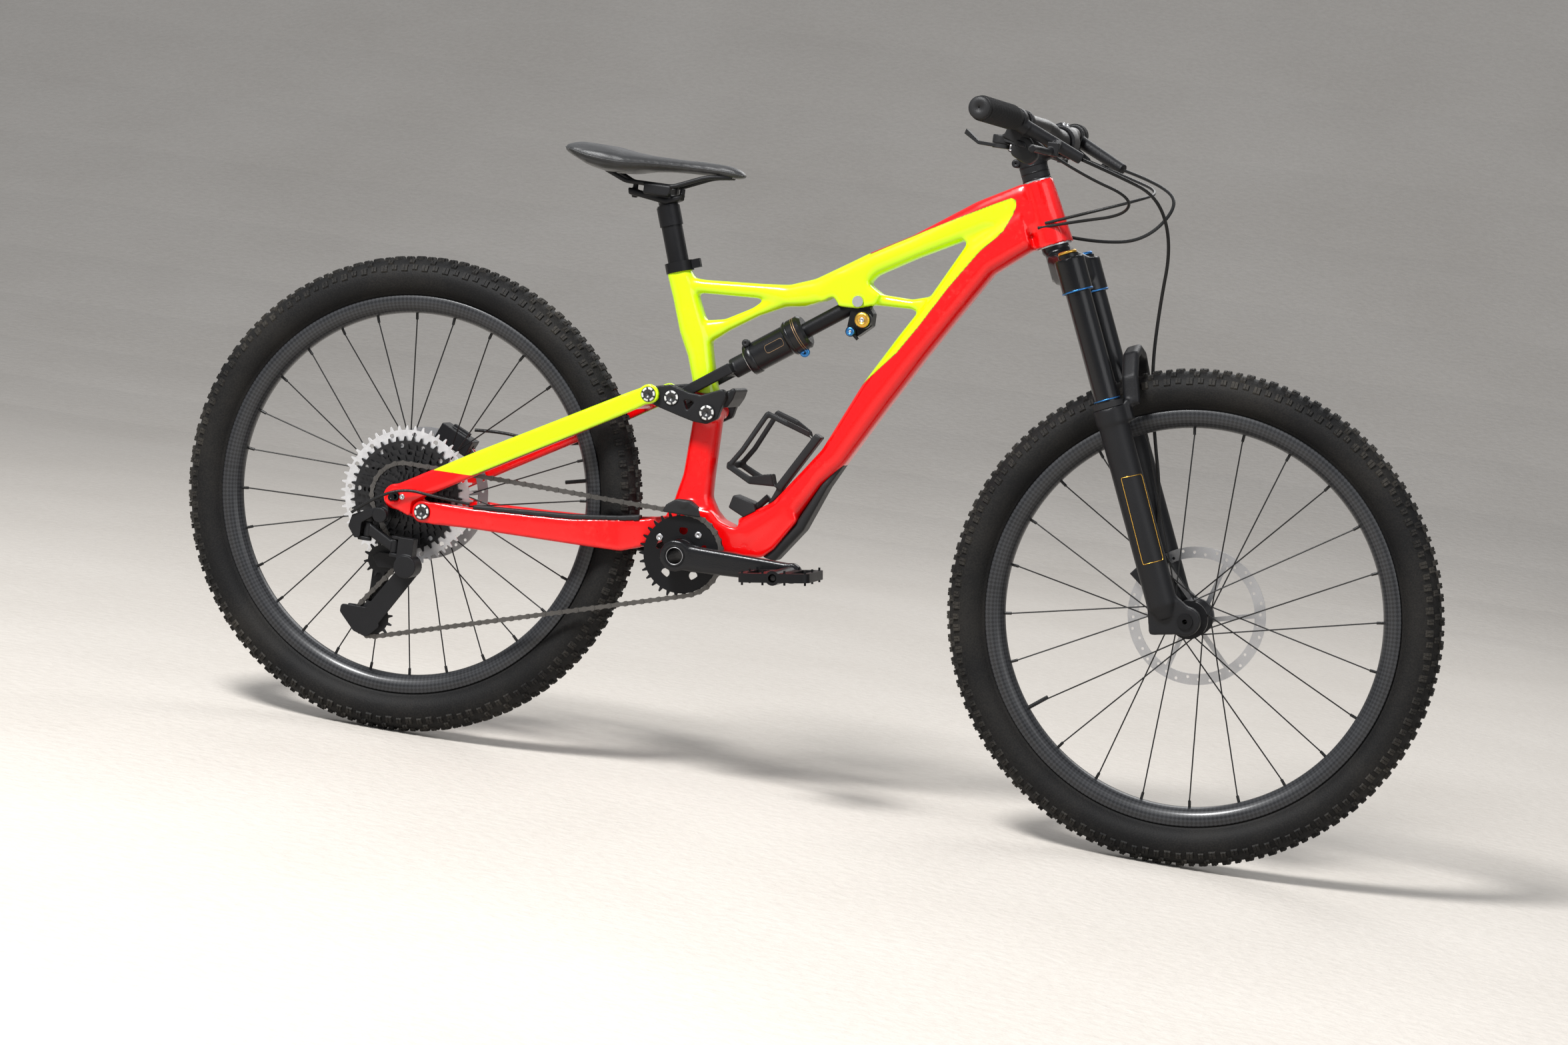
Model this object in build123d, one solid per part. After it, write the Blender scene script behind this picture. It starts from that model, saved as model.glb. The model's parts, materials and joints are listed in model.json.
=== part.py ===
"""Full-suspension mountain bike with a single-ring drivetrain, in millimetres.

Origin on the ground midway between the axles, +X forward, +Y to the rider's left, +Z up.
"""
import os
from math import atan2, cos, hypot, pi, radians, sin, sqrt

from build123d import *

os.makedirs("parts", exist_ok=True)

# Driving dimensions
WHEELBASE = 1186
WHEEL_R = 357
TYRE_WIDTH = 66
RIM_OUTER_R = 298
RIM_INNER_R = 271.7
RIM_WIDTH = 37
BEAD_R = 292
ROTOR_R = 100
FRONT_HUB = 110
REAR_HUB = 140
FRONT_SPOKES = 24
REAR_SPOKES = 28
CRANK_LENGTH = 175
CHAIN_PITCH = 12.7
RING_TEETH = 30
COGS = (10, 12, 14, 16, 18, 21, 24, 28, 32, 36, 42, 50)
COG_STEP = 3.45
COG_IN_USE = 24
UPPER_PULLEY_TEETH = 12
LOWER_PULLEY_TEETH = 14
BAR_WIDTH = 780
DROPPER_TRAVEL = 125
FORK_TRAVEL = 160
RUNNING_GAP = 0.05
UP = (Align.CENTER, Align.CENTER, Align.MIN)

# Places in the side view, as (x, z)
BB = (-155, 336)
REAR_AXLE = (-WHEELBASE / 2, WHEEL_R)
FRONT_AXLE = (WHEELBASE / 2, WHEEL_R)
MAIN_PIVOT = (-183, 372)
HORST_PIVOT = (-548, 341)
LINK_REAR = (-234, 561.5)
LINK_MAIN = (-145, 547)
YOKE_BOLT = (-201.6, 561)
SHOCK_MOUNT = (48.5, 737.5)
CAGE_PIVOT = (-560, 257)
UPPER_PULLEY = (-614, 258)
LOWER_PULLEY = (-616, 169)
RING_Y = -50
COG_Y = RING_Y + 5.6
HEAD_ANGLE = 66.5

# The steering axis: local x is forward of it, local y is left and local z runs up along it
STEER = Plane(
    origin=(300.7, 0, 900),
    x_dir=(sin(radians(HEAD_ANGLE)), 0, cos(radians(HEAD_ANGLE))),
    z_dir=(-cos(radians(HEAD_ANGLE)), 0, sin(radians(HEAD_ANGLE))),
)
# The shock's axis: local z runs from the frame mount down to the yoke bolt
SHOCK_LENGTH = hypot(YOKE_BOLT[0] - SHOCK_MOUNT[0], YOKE_BOLT[1] - SHOCK_MOUNT[1])
SHOCK = Plane(
    origin=(SHOCK_MOUNT[0], 0, SHOCK_MOUNT[1]),
    x_dir=(0, 1, 0),
    z_dir=(YOKE_BOLT[0] - SHOCK_MOUNT[0], 0, YOKE_BOLT[1] - SHOCK_MOUNT[1]),
)
SHOCK_STROKE = 57.6
SHOCK_SWING = 2.5
# The seat post's axis, pointing up, through the top of the seat tube
POST = Plane(origin=(-226.5, 0, 742), x_dir=(0, 1, 0), z_dir=(-0.3261, 0, 0.9453))


def pitch_radius(teeth):
    """Radius of the chain's pin centres on a sprocket."""
    return CHAIN_PITCH / (2 * sin(pi / teeth))


def upright(sketch, y0, y1):
    """Extrude an outline drawn as (x, z) so that it fills y0 to y1."""
    return Pos(0, y1, 0) * Rot(90, 0, 0) * extrude(sketch, y1 - y0)


def outline(points, radius=0):
    """Closed outline through the points, its corners rounded."""
    face = make_face(Polyline(*points, close=True))
    return fillet(face.vertices(), radius) if radius else face


def plate(points, y0, y1, radius=0):
    """Flat plate with the given side-view outline."""
    return upright(outline(points, radius), y0, y1)


def disc(place, radius, y0, y1):
    """Cylinder along Y."""
    return upright(Pos(*place) * Circle(radius), y0, y1)


def ring(place, outer, inner, y0, y1):
    """Tube along Y."""
    return upright(Pos(*place) * (Circle(outer) - Circle(inner)), y0, y1)


def rod(start, end, radius, end_radius=None):
    """Round bar, or cone, from start to end."""
    axis = Vector(*end) - Vector(*start)
    body = Cone if end_radius is not None and end_radius != radius else Cylinder
    sizes = (radius, end_radius) if body is Cone else (radius,)
    align = (Align.CENTER, Align.CENTER, Align.MIN)
    return Plane(origin=start, z_dir=axis) * body(*sizes, axis.length, align=align)


def block(x0, x1, y0, y1, z0, z1):
    """Box between two corners."""
    return Pos((x0 + x1) / 2, (y0 + y1) / 2, (z0 + z1) / 2) * Box(x1 - x0, y1 - y0, z1 - z0)


def limb(*stations, corner=0.4):
    """Rounded box tube lofted through stations of (upper x, z), (lower x, z), y0, y1."""
    sections = []
    for (xa, za), (xb, zb), y0, y1 in stations:
        depth = hypot(xa - xb, za - zb)
        up = Vector(xa - xb, 0, za - zb)
        centre = ((xa + xb) / 2, (y0 + y1) / 2, (za + zb) / 2)
        plane = Plane(origin=centre, x_dir=(0, 1, 0), z_dir=Vector(0, 1, 0).cross(up))
        width = y1 - y0
        sections.append(plane * RectangleRounded(width, depth, corner * min(width, depth)))
    return loft(sections, ruled=True)


def hose(points, radii, radius):
    """Round hose along straight runs joined by large arcs."""
    path = FilletPolyline(*points, radius=radii)
    return sweep(Plane(origin=path @ 0, z_dir=path % 0) * Circle(radius), path=path)


def both_sides(shape):
    """The shape with its mirror image on the other side of the bike."""
    return shape + mirror(shape, about=Plane.XZ)


def sprocket(teeth, hole):
    """Toothed outline about the origin with a round hole."""
    tip = pitch_radius(teeth) + 3
    root = pitch_radius(teeth) - 3.6
    points = []
    for tooth in range(teeth):
        for radius, lead in ((root, -0.28), (root, 0.28), (tip, 0.42), (tip, 0.58)):
            angle = 2 * pi * (tooth + lead) / teeth
            points.append((radius * cos(angle), radius * sin(angle)))
    return make_face(Polyline(*points, close=True)) - Circle(hole)


def save(node, *solids):
    """Write one named sub-piece, made of one or more solids."""
    shape = solids[0] if len(solids) == 1 else Compound(children=[Compound(s.solids()) for s in solids])
    export_step(shape, f"parts/{node}.step")


# ---------------------------------------------------------------- front frame
head_tube = STEER * Pos(0, 0, -49) * Cone(28.1, 22.6, 98, align=(Align.CENTER, Align.CENTER, Align.MIN))
top_tube = limb(
    ((-222, 738), (-212, 716), -15, 15),
    ((-186, 737), (-186, 717), -13, 13),
    ((-101, 743), (-101, 721), -13, 13),
    ((-60, 747), (-60, 714), -15, 15),
    ((-22, 761), (-12, 722), -18, 18),
    ((22, 789), (38, 733), -19, 19),
    ((56, 811), (70, 778), -19, 19),
    ((113, 843), (127, 812), -19, 19),
    ((200, 904), (222, 862), -20, 20),
    ((262, 938), (300, 868), -21, 21),
)
brace = limb(
    ((-190, 676), (-176, 638), -14, 14),
    ((-149.5, 684), (-140, 668), -11, 11),
    ((-110, 706), (-98, 696), -11, 11),
    ((-72, 740), (-56, 716), -13, 13),
)
mount_web = plate(
    ((-22, 740), (10, 775), (54, 785), (61, 763), (80, 752), (74, 735), (58, 729), (48, 726), (0, 724)), -19, 19, 3
)
strut = limb(
    ((40, 775), (44, 729), -17, 17),
    ((61, 763), (60, 731), -15, 15),
    ((78, 752), (76, 735), -12, 12),
    ((125, 751), (125, 737), -12, 12),
    ((170, 765), (165, 725), -16, 16),
)
down_tube = limb(
    ((-88, 398), (-60, 346), -28, 28),
    ((-39, 430), (1.4, 408.9), -27, 27),
    ((0, 483), (32.3, 466), -26, 26),
    ((24, 517), (60, 498), -27, 27),
    ((70, 620), (115.4, 596.3), -28, 28),
    ((113, 696), (159.3, 671.9), -28, 28),
    ((152, 761), (198.6, 736.7), -27, 27),
    ((194, 842), (240, 803), -26, 26),
    ((262, 905), (293, 846), -24, 24),
)
head_gusset = plate(((187, 851), (194, 842), (262, 890), (298, 858), (290, 930), (262, 936), (200, 900)), -17, 17, 4)
seat_tube = limb(
    ((-113, 391), (-192, 391), -24, 24),
    ((-132, 422), (-186, 422), -21, 21),
    ((-133, 450), (-180, 450), -20, 20),
    ((-133, 552), (-176, 552), -20, 20),
    ((-148, 587), (-185, 587), -20, 20),
    ((-158, 622), (-197, 622), -20, 20),
    ((-166, 655), (-214, 655), -20, 20),
    ((-188, 700), (-230, 700), -19, 19),
    ((-207, 744), (-246, 740), -18.5, 18.5),
)
belly = plate(
    (
        (-190, 398), (-126, 404), (-113, 391), (-91, 384), (-70, 387), (-59, 400),
        (-20, 440), (5, 410), (-25, 362), (-42, 347), (-70, 345), (-100, 348),
        (-128, 318), (-158, 312), (-178, 330), (-178, 350), (-197, 372),
    ),
    -27, 27, 2.5,
)  # fmt: skip
bb_shell = disc(BB, 24, -36.5, 36.5)
main_boss = disc(MAIN_PIVOT, 16, -26.5, 26.5)
link_boss = disc(LINK_MAIN, 12.5, -35.6, 35.6)
post_sleeve = POST * Pos(0, 0, -90) * Cylinder(17.6, 108, align=(Align.CENTER, Align.CENTER, Align.MIN))
guide_boss = disc((-159, 408), 6, -41.8, -15)
cage_bosses = disc((-26, 440), 5, -6, 6) + disc((10, 500), 5, -6, 6)
frame = head_tube + top_tube + brace + mount_web + strut + down_tube + head_gusset
frame = frame + seat_tube + belly + bb_shell + main_boss + link_boss + post_sleeve + guide_boss
shock_pocket = disc(SHOCK_MOUNT, 16, -12.4, 12.4) + plate(((30, 738), (66, 738), (84, 715), (10, 700)), -12.4, 12.4)
shock_pocket = shock_pocket + plate(((48, 760), (60, 737), (-30, 676), (-42, 698)), -12.4, 12.4)
bores = disc(BB, 20.5, -40, 40) + disc(MAIN_PIVOT, 8 + RUNNING_GAP, -40, 40) + disc(LINK_MAIN, 6 + RUNNING_GAP, -40, 40)
head_bore = STEER * Pos(0, 0, -60) * Cylinder(18, 120, align=(Align.CENTER, Align.CENTER, Align.MIN))
cup_seats = STEER * (Pos(0, 0, 46) * Cylinder(20.6, 20) + Pos(0, 0, -45) * Cylinder(25, 20))
post_bore = POST * Pos(0, 0, -96) * Cylinder(15.5, 140, align=(Align.CENTER, Align.CENTER, Align.MIN))
frame = frame - shock_pocket - bores - head_bore - cup_seats - post_bore - disc(SHOCK_MOUNT, 5, -25, 25)
# The top tube is hollowed from below where the shock's can swings up and slides in under it
for share in (0.35, 0.6, 0.8, 1.0):
    swung = SHOCK * Rot(SHOCK_SWING * share, 0, 0)
    frame = frame - swung * Pos(0, 0, 88 - SHOCK_STROKE * share) * Cylinder(27, 80, align=UP)
save("front_frame", frame)

collar = POST * (
    Pos(0, 0, 1) * extrude(Circle(20.8) - Circle(17.65), 15)
    + Pos(0, -0.0, 9) * Box(9, 14, 13, align=(Align.CENTER, Align.MIN, Align.CENTER)).moved(Location((0, -33, 0)))
)
collar = collar - POST * Pos(0, 0, 9) * Cylinder(17.65, 30)
save("seat_collar", collar)

upper_cup = STEER * Pos(0, 0, 37) * extrude(Circle(20.5) - Circle(14.3 + RUNNING_GAP), 12)
lower_cup = STEER * Pos(0, 0, -49) * extrude(Circle(24.9) - Circle(20 + RUNNING_GAP), 12)
bb_cups = both_sides(ring(BB, 20.4, 14.5 + RUNNING_GAP, 26, 36.5) + ring(BB, 22, 14.5 + RUNNING_GAP, 36.6, 39))
shock_bolt = disc(SHOCK_MOUNT, 4.9, -22, 22) + disc(SHOCK_MOUNT, 8, -22, -19.1)
save("frame_bearings", upper_cup, lower_cup, bb_cups, shock_bolt)

guide = plate(((-191, 394), (-186, 406), (-172, 416), (-152, 417), (-136, 408), (-131, 394)), -60, -57, 2)
guide = guide + plate(((-186, 405), (-172, 416), (-152, 417), (-138, 408), (-140, 404), (-184, 403)), -58, -42, 1)
guide_bolt = disc((-159, 410), 5, -61.5, -59)
guard = limb(
    ((-42, 348), (-22, 345), -22, 22),
    ((0, 402), (14, 395), -22, 22),
    ((31.7, 466.5), (40.5, 462), -20, 20),
    ((55, 503), (61, 500), -15, 15),
)
save("frame_guards", guard, guide + guide_bolt)

cage_base = limb(((-40, 452), (-29, 447), -11, 11), ((10, 538), (21, 533), -11, 11), corner=0.2)
lower_band = limb(((-109, 480), (-109, 470), -37, 37), ((-105, 478), (-105, 468), -38, 38), corner=0.2)
wings = limb(((-46, 470), (-40, 452), 6, 12), ((-72, 464), (-72, 452), 34, 38), ((-108, 480), (-108, 470), 34, 38))
upper_arm = limb(((0, 540), (4, 530), 6, 11), ((-28, 552), (-28, 543), 28, 34), ((-60, 562), (-60, 553), 26, 32))
side_rod = rod((-59, 30, 558), (-88, 36, 500), 4) + rod((-88, 36, 500), (-104, 36, 476), 4)
tool_box = plate(((-103, 412), (-98, 432), (-66, 424), (-60, 410), (-76, 400)), -17, 17, 3)
tool_arm = rod((-66, 0, 415), (-48, 0, 436), 5)
cage_foot = limb(((-55, 405), (-44, 399), -9, 9), ((-36, 452), (-25, 447), -9, 9), corner=0.2)
cage = cage_base + lower_band + both_sides(wings + upper_arm + side_rod) + tool_arm + cage_foot + tool_box
save("bottle_cage", cage - down_tube - belly)

# -------------------------------------------------------------- dropper post
post_outer = POST * Pos(0, 0, -88) * Cylinder(15.45, 166, align=(Align.CENTER, Align.CENTER, Align.MIN))
post_outer = post_outer + POST * Pos(0, 0, 70) * extrude(Circle(17.2), 29)
post_outer = post_outer + POST * Pos(0, 0, 99) * extrude(Circle(15.8), 2)
post_outer = post_outer - POST * Pos(0, 0, -80) * Cylinder(
    13 + RUNNING_GAP, 200, align=(Align.CENTER, Align.CENTER, Align.MIN)
)
save("dropper_post_outer", post_outer)

stanchion = POST * Pos(0, 0, -78) * Cylinder(13, 190, align=(Align.CENTER, Align.CENTER, Align.MIN))
HEAD = (-262, 848)
saddle_head = limb(((-320, 856), (-318, 846), -13, 13), (HEAD, (-258, 838), -16, 16), ((-238, 856), (-240, 846), -13, 13))
clamp_lower = both_sides(limb(((-292, 866), (-292, 854), 14, 28), ((-252, 866), (-252, 854), 14, 28), corner=0.2))
clamp_bridge = limb(((-292, 862), (-292, 850), -28, 28), ((-254, 862), (-254, 850), -28, 28), corner=0.2)
head_bolts = rod((-312, 0, 842), (-312, 0, 866), 4) + rod((-240, 0, 847), (-240, 0, 864), 4)
saddle_head = saddle_head - POST * Pos(0, 0, 60) * Cylinder(19, 41.5, align=(Align.CENTER, Align.CENTER, Align.MIN))
stanchion = stanchion + saddle_head + clamp_bridge + clamp_lower + head_bolts
rails = hose(
    ((-352, 30, 878), (-322, 22, 865), (-250, 22, 865), (-200, 20, 886), (-166, 8, 890)), (18, 40, 60), 3.5
)
rails = both_sides(rails)
save("dropper_post_inner", stanchion - rails, rails)
saddle = loft(
    [
        Plane(origin=(x, 0, (top + low) / 2), x_dir=(0, 1, 0), z_dir=(1, 0, 0)) * RectangleRounded(w, top - low, 0.45 * (top - low))
        for x, w, top, low in (
            (-418, 96, 909, 897),
            (-400, 138, 913, 884),
            (-350, 146, 914, 872),
            (-310, 128, 909, 872),
            (-260, 82, 907, 884),
            (-200, 46, 907.5, 887),
            (-160, 38, 905, 888),
            (-143, 24, 898, 889),
        )
    ],
    ruled=True,
)
save("saddle", saddle - both_sides(hose(
    ((-352, 30, 878), (-322, 22, 865), (-250, 22, 865), (-200, 20, 886), (-166, 8, 890)), (18, 40, 60), 3.8
)))

# ------------------------------------------------------------ fork and cockpit
LEG_Y = 68
LEG_N = 25.8
steerer = Cylinder(14.3, 170, align=UP).moved(Location((0, 0, -60)))
crown_race = Cylinder(20, 16, align=UP).moved(Location((0, 0, -58)))
crown = loft(
    [
        Plane(origin=(n, y, s), z_dir=(0, 1, 0)) * RectangleRounded(w, h, 9)
        for n, y, s, w, h in (
            (LEG_N, -LEG_Y, -93, 36, 34), (10, -34, -85, 46, 42), (4, 0, -78, 50, 42),
            (10, 34, -85, 46, 42), (LEG_N, LEG_Y, -93, 36, 34),
        )
    ],
    ruled=True,
)  # fmt: skip
sleeves = [Pos(LEG_N, y, -126) * Cylinder(22, 51, align=UP) for y in (-LEG_Y, LEG_Y)]
crown_piece = STEER * (steerer + crown_race + crown + sleeves[0] + sleeves[1])
for y in (-LEG_Y, LEG_Y):
    crown_piece = crown_piece - STEER * Pos(LEG_N, y, -140) * Cylinder(18, 63, align=UP)
# The crown's underside clears the tyre when the fork is fully compressed
AXLE_RAISED = (
    FRONT_AXLE[0] - FORK_TRAVEL * cos(radians(HEAD_ANGLE)),
    FRONT_AXLE[1] + FORK_TRAVEL * sin(radians(HEAD_ANGLE)),
)
crown_piece = crown_piece - disc(AXLE_RAISED, WHEEL_R + 4, -37, 37)
save("fork_crown_steerer", crown_piece)
STANCHION_END = -420
stanchions = [
    STEER * Pos(LEG_N, y, STANCHION_END) * Cylinder(18, -77 - STANCHION_END, align=UP) for y in (-LEG_Y, LEG_Y)
]
stanchions = [s - STEER * Pos(LEG_N, y, -480) * Cylinder(15.5, 400, align=UP)
              for s, y in zip(stanchions, (-LEG_Y, LEG_Y))]
top_caps = [
    STEER * Pos(LEG_N, y, 0) * (Cylinder(15, 5, align=UP).moved(Location((0, 0, -74.9)))
                                + Cylinder(9, 3, align=UP).moved(Location((0, 0, -69.9))))
    for y in (-LEG_Y, LEG_Y)
]
save("fork_stanchions", *stanchions, *top_caps)

BAR_CENTRE = (309, 1004)
stem = STEER * Pos(0, 0, 71) * Cylinder(20, 42, align=UP) + STEER * Pos(0, 0, 49.3) * Cylinder(20.5, 21.5, align=UP)
stem = stem + rod((272, 0, 984), (304, 0, 1001), 17) + disc(BAR_CENTRE, 23, -24, 24)
stem = stem - STEER * Pos(0, 0, 40) * Cylinder(14.35, 90, align=UP) - disc(BAR_CENTRE, 17.6, -40, 40)
stem = stem + STEER * Pos(0, 0, 110.2) * Cylinder(16, 6, align=UP)
save("stem", stem)


def bar_point(y):
    """Centre of the handlebar at a distance y from the middle."""
    a = abs(y)
    rise = min(max((a - 40) / 70, 0), 1)
    rise = rise * rise * (3 - 2 * rise)
    return (309 - 0.141 * max(a - 40, 0) + 2 * rise, y, 1004 + 15 * rise + 0.025 * max(a - 110, 0))


bar_stations = (0, 40, 60, 85, 110, 200, 300, BAR_WIDTH / 2)
bar_side = []
for index, y in enumerate(bar_stations):
    a = Vector(*bar_point(max(y - 1, 0)))
    b = Vector(*bar_point(y + 1))
    radius = 17.5 if y <= 40 else (11.1 if y >= 110 else 17.5 - 6.4 * (y - 40) / 70)
    bar_side.append(Plane(origin=bar_point(y), z_dir=(0, 1, 0) if y == 0 else b - a) * Circle(radius))
half_bar = loft(bar_side, ruled=True)
handlebar = half_bar + mirror(half_bar, about=Plane.XZ)
save("handlebar", handlebar)


def on_bar(y0, y1, outer, inner):
    """Sleeve on the straight end of the bar."""
    axis = Vector(*bar_point(y1)) - Vector(*bar_point(y0))
    return Plane(origin=bar_point(y0), z_dir=axis) * extrude(Circle(outer) - Circle(inner), axis.length)


grips = both_sides(on_bar(256, 384, 16.5, 11.15) + on_bar(250, 256, 15.8, 11.15) + on_bar(384, 391, 15.8, 11.15))
save("grips", grips)

# The brake's fluid body runs forward and inward from its clamp; the blade hangs from its end
LEVER_PIVOT = (342, -236, 987)
clamp_ring = rod(bar_point(-226), bar_point(-240), 15.5)
fluid_body = rod((290, -233, 1016), (372, -188, 980), 10, 8) + rod((286, -233, 1018), (300, -228, 1010), 11)
pivot_lug = rod((342, -214, 996), LEVER_PIVOT, 6) + Pos(*LEVER_PIVOT) * Cylinder(7, 8)
master = clamp_ring + fluid_body + pivot_lug - rod(bar_point(-200), bar_point(-254), 11.15)
for z in (8.1, -8.1):
    master = master - Pos(LEVER_PIVOT[0], LEVER_PIVOT[1], LEVER_PIVOT[2] + z) * Cylinder(7.6, 8)
save("brake_bodies", master, mirror(master, about=Plane.XZ))
blade = hose(((342, -236, 987), (338, -258, 982), (322, -300, 984), (330, -335, 982)), (20, 60), 5)
blade_pin = Pos(*LEVER_PIVOT) * (extrude(Circle(7), 5).moved(Location((0, 0, 4.4))) + extrude(Circle(7), -5).moved(Location((0, 0, -4.4))))
blade_neck = block(334, 350, -250, -244, 977.7, 996.3)
blade = blade - Pos(*LEVER_PIVOT) * Cylinder(9, 8.8) + blade_pin + blade_neck
save("brake_lever_right", blade)
save("brake_lever_left", mirror(blade, about=Plane.XZ))

shifter_body = Pos(283, -206, 1000) * Rot(0, 20, 8) * Box(34, 26, 20) + mirror(on_bar(196, 206, 15, 11.15), about=Plane.XZ)
shifter_body = shifter_body + rod((300, -206, 998), (318, -190, 986), 4.5) + Pos(262, -206, 992) * Cylinder(13, 12)
shifter_body = shifter_body - rod(bar_point(-180), bar_point(-230), 11.15)
remote_base = Pos(286, 210, 1001) * Rot(0, 15, -8) * Box(22, 18, 16) + on_bar(204, 212, 15, 11.15)
remote_base = remote_base + rod((296, 208, 1000), (318, 196, 986), 4) - rod(bar_point(180), bar_point(230), 11.15)
remote_base = remote_base + Pos(276, 212, 991) * Cylinder(8, 7)
save("control_bodies", shifter_body, remote_base)
paddle = Pos(262, -206, 982.6) * Cylinder(12, 6)
paddle = paddle + limb(((262, 985), (262, 980), -214, -198), ((232, 986), (232, 981), -222, -206), ((214, 1000), (212, 993), -226, -206), corner=0.2)
save("shifter_paddle", paddle)
remote_lever = Pos(276, 212, 981.6) * Cylinder(8, 6)
remote_lever = remote_lever + limb(((276, 984), (276, 979), 206, 218), ((240, 990), (240, 985), 210, 226), corner=0.2)
save("dropper_remote_lever", remote_lever)

front_hose = hose(
    (
        (374, -187, 979), (420, -130, 964), (466, -50, 944), (486, 5, 880), (477, 38, 790),
        (478, 41, 700), (494, 40, 612), (517, 41, 520), (522, 46, 452),
    ),
    (50, 60, 50, 60, 60, 80, 80), 2.5,
)  # fmt: skip
rear_hose_front = hose(
    ((374, 187, 979), (440, 140, 965), (476, 95, 938), (440, 55, 880), (372, 30, 868), (322, 26, 872)),
    (50, 35, 40, 60), 2.5,
)  # fmt: skip
shift_front = hose(
    ((318, -190, 986), (372, -150, 958), (436, -100, 938), (425, -62, 912), (350, -32, 894), (296, -22.5, 878)),
    (60, 30, 22, 70), 2.2,
)  # fmt: skip
dropper_front = hose(
    ((318, 196, 986), (390, 150, 968), (452, 60, 952), (434, -20, 936), (360, -36, 906), (306, -25.5, 886)),
    (60, 60, 30, 60), 2.2,
)  # fmt: skip
save("rear_brake_hose", rear_hose_front - frame)
save("control_cables", shift_front - frame, dropper_front - frame)

# ---------------------------------------------------------------- fork lowers
lower_legs = []
for y in (-LEG_Y, LEG_Y):
    side = 1 if y > 0 else -1
    tube = Cylinder(22, 290, align=UP).moved(Location((0, 0, -585)))
    top = Cylinder(24, 24, align=UP).moved(Location((0, 0, -319)))
    foot = Cone(14, 21.6, 19, align=UP).moved(Location((0, 0, -604)))
    leg = STEER * Pos(LEG_N, y, 0) * (tube + top + foot)
    drop = disc(FRONT_AXLE, 21, 55.3, 76) + plate(((560, 400), (530, 400), (545, 330), (600, 340), (612, 365)), 58, 76, 5)
    lower_legs.append(leg + (drop if side > 0 else mirror(drop, about=Plane.XZ)))
arch = loft(
    [
        Plane(origin=(n, y, s), z_dir=(0, dy, ds)) * RectangleRounded(14, 24, 5)
        for n, y, s, dy, ds in (
            (58, -64, -300, 0.25, 1), (64, -58, -262, 0.5, 1), (70, -36, -232, 1, 0.5), (72, 0, -223, 1, 0),
            (70, 36, -232, 1, -0.5), (64, 58, -262, 0.5, -1), (58, 64, -300, 0.25, -1),
        )
    ],
    ruled=True,
)  # fmt: skip
arch_feet = both_sides(STEER * Pos(44, 64, -305) * Box(24, 22, 30))
lowers = lower_legs[0] + lower_legs[1] + STEER * arch + arch_feet
for y in (-LEG_Y, LEG_Y):
    lowers = lowers - STEER * Pos(LEG_N, y, STANCHION_END - FORK_TRAVEL - 3) * Cylinder(18 + RUNNING_GAP, 320, align=UP)
    lowers = lowers - STEER * Pos(LEG_N, y, -295) * Cylinder(23.4, 16, align=UP)
lowers = lowers - disc(FRONT_AXLE, 6, -90, 90) - disc(FRONT_AXLE, ROTOR_R + 3, 40, 46.2)
save("fork_lowers", lowers)
seals = [STEER * Pos(LEG_N, y, -294.9) * extrude(Circle(23) - Circle(18 + RUNNING_GAP), 8.2) for y in (-LEG_Y, LEG_Y)]
save("wiper_seals", *seals)
front_axle = disc(FRONT_AXLE, 6, -78, 78) + disc(FRONT_AXLE, 11, -79, -76.1) - disc(FRONT_AXLE, 3.5, -80, 80)
save("front_axle", front_axle)


def caliper(centre, angle, rotor_y):
    """Brake caliper straddling the disc's edge, turned about Y, with its two pads."""
    body = Box(56, 34, 26).moved(Location((0, 0, 2)))
    body = body - Box(70, 6, 24).moved(Location((0, 0, -6)))
    pads = Box(26, 1.6, 16).moved(Location((0, 2.2, -7))) + Box(26, 1.6, 16).moved(Location((0, -2.2, -7)))
    fins = Box(30, 1.6, 10).moved(Location((0, 2.2, 16))) + Box(30, 1.6, 10).moved(Location((0, -2.2, 16)))
    shape = body + pads + fins + Cylinder(9, 34).rotate(Axis.X, 90)
    shape = shape - Box(80, 2.8, 32).moved(Location((0, 0, -7.5)))
    return Pos(centre[0], rotor_y, centre[1]) * Rot(0, angle, 0) * shape


def on_rotor(axle, angle, radius):
    """Point at an angle above the forward direction."""
    return (axle[0] + radius * cos(radians(angle)), axle[1] + radius * sin(radians(angle)))


FRONT_ROTOR_Y = 43.8
REAR_ROTOR_Y = 56
front_caliper = caliper(on_rotor(FRONT_AXLE, 141, ROTOR_R - 6), -51, FRONT_ROTOR_Y)
front_mount = rod((506, 58, 452), (516, 62, 410), 7) + rod((506, 58, 452), (505, 66, 470), 7)
front_caliper = front_caliper + front_mount - lowers - STEER * Pos(LEG_N, LEG_Y, -600) * Cylinder(21.9, 310, align=UP)
save("front_brake_hose", front_hose - lowers - front_caliper)
save("front_caliper", front_caliper - disc(FRONT_AXLE, ROTOR_R + 1.5, FRONT_ROTOR_Y - 1.4, FRONT_ROTOR_Y + 1.4))


# --------------------------------------------------------------------- wheels
def turned(profile, axle):
    """Turn an (r, y) outline about the axle line."""
    return Pos(axle[0], 0, axle[1]) * revolve(profile, Axis.Y)


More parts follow.
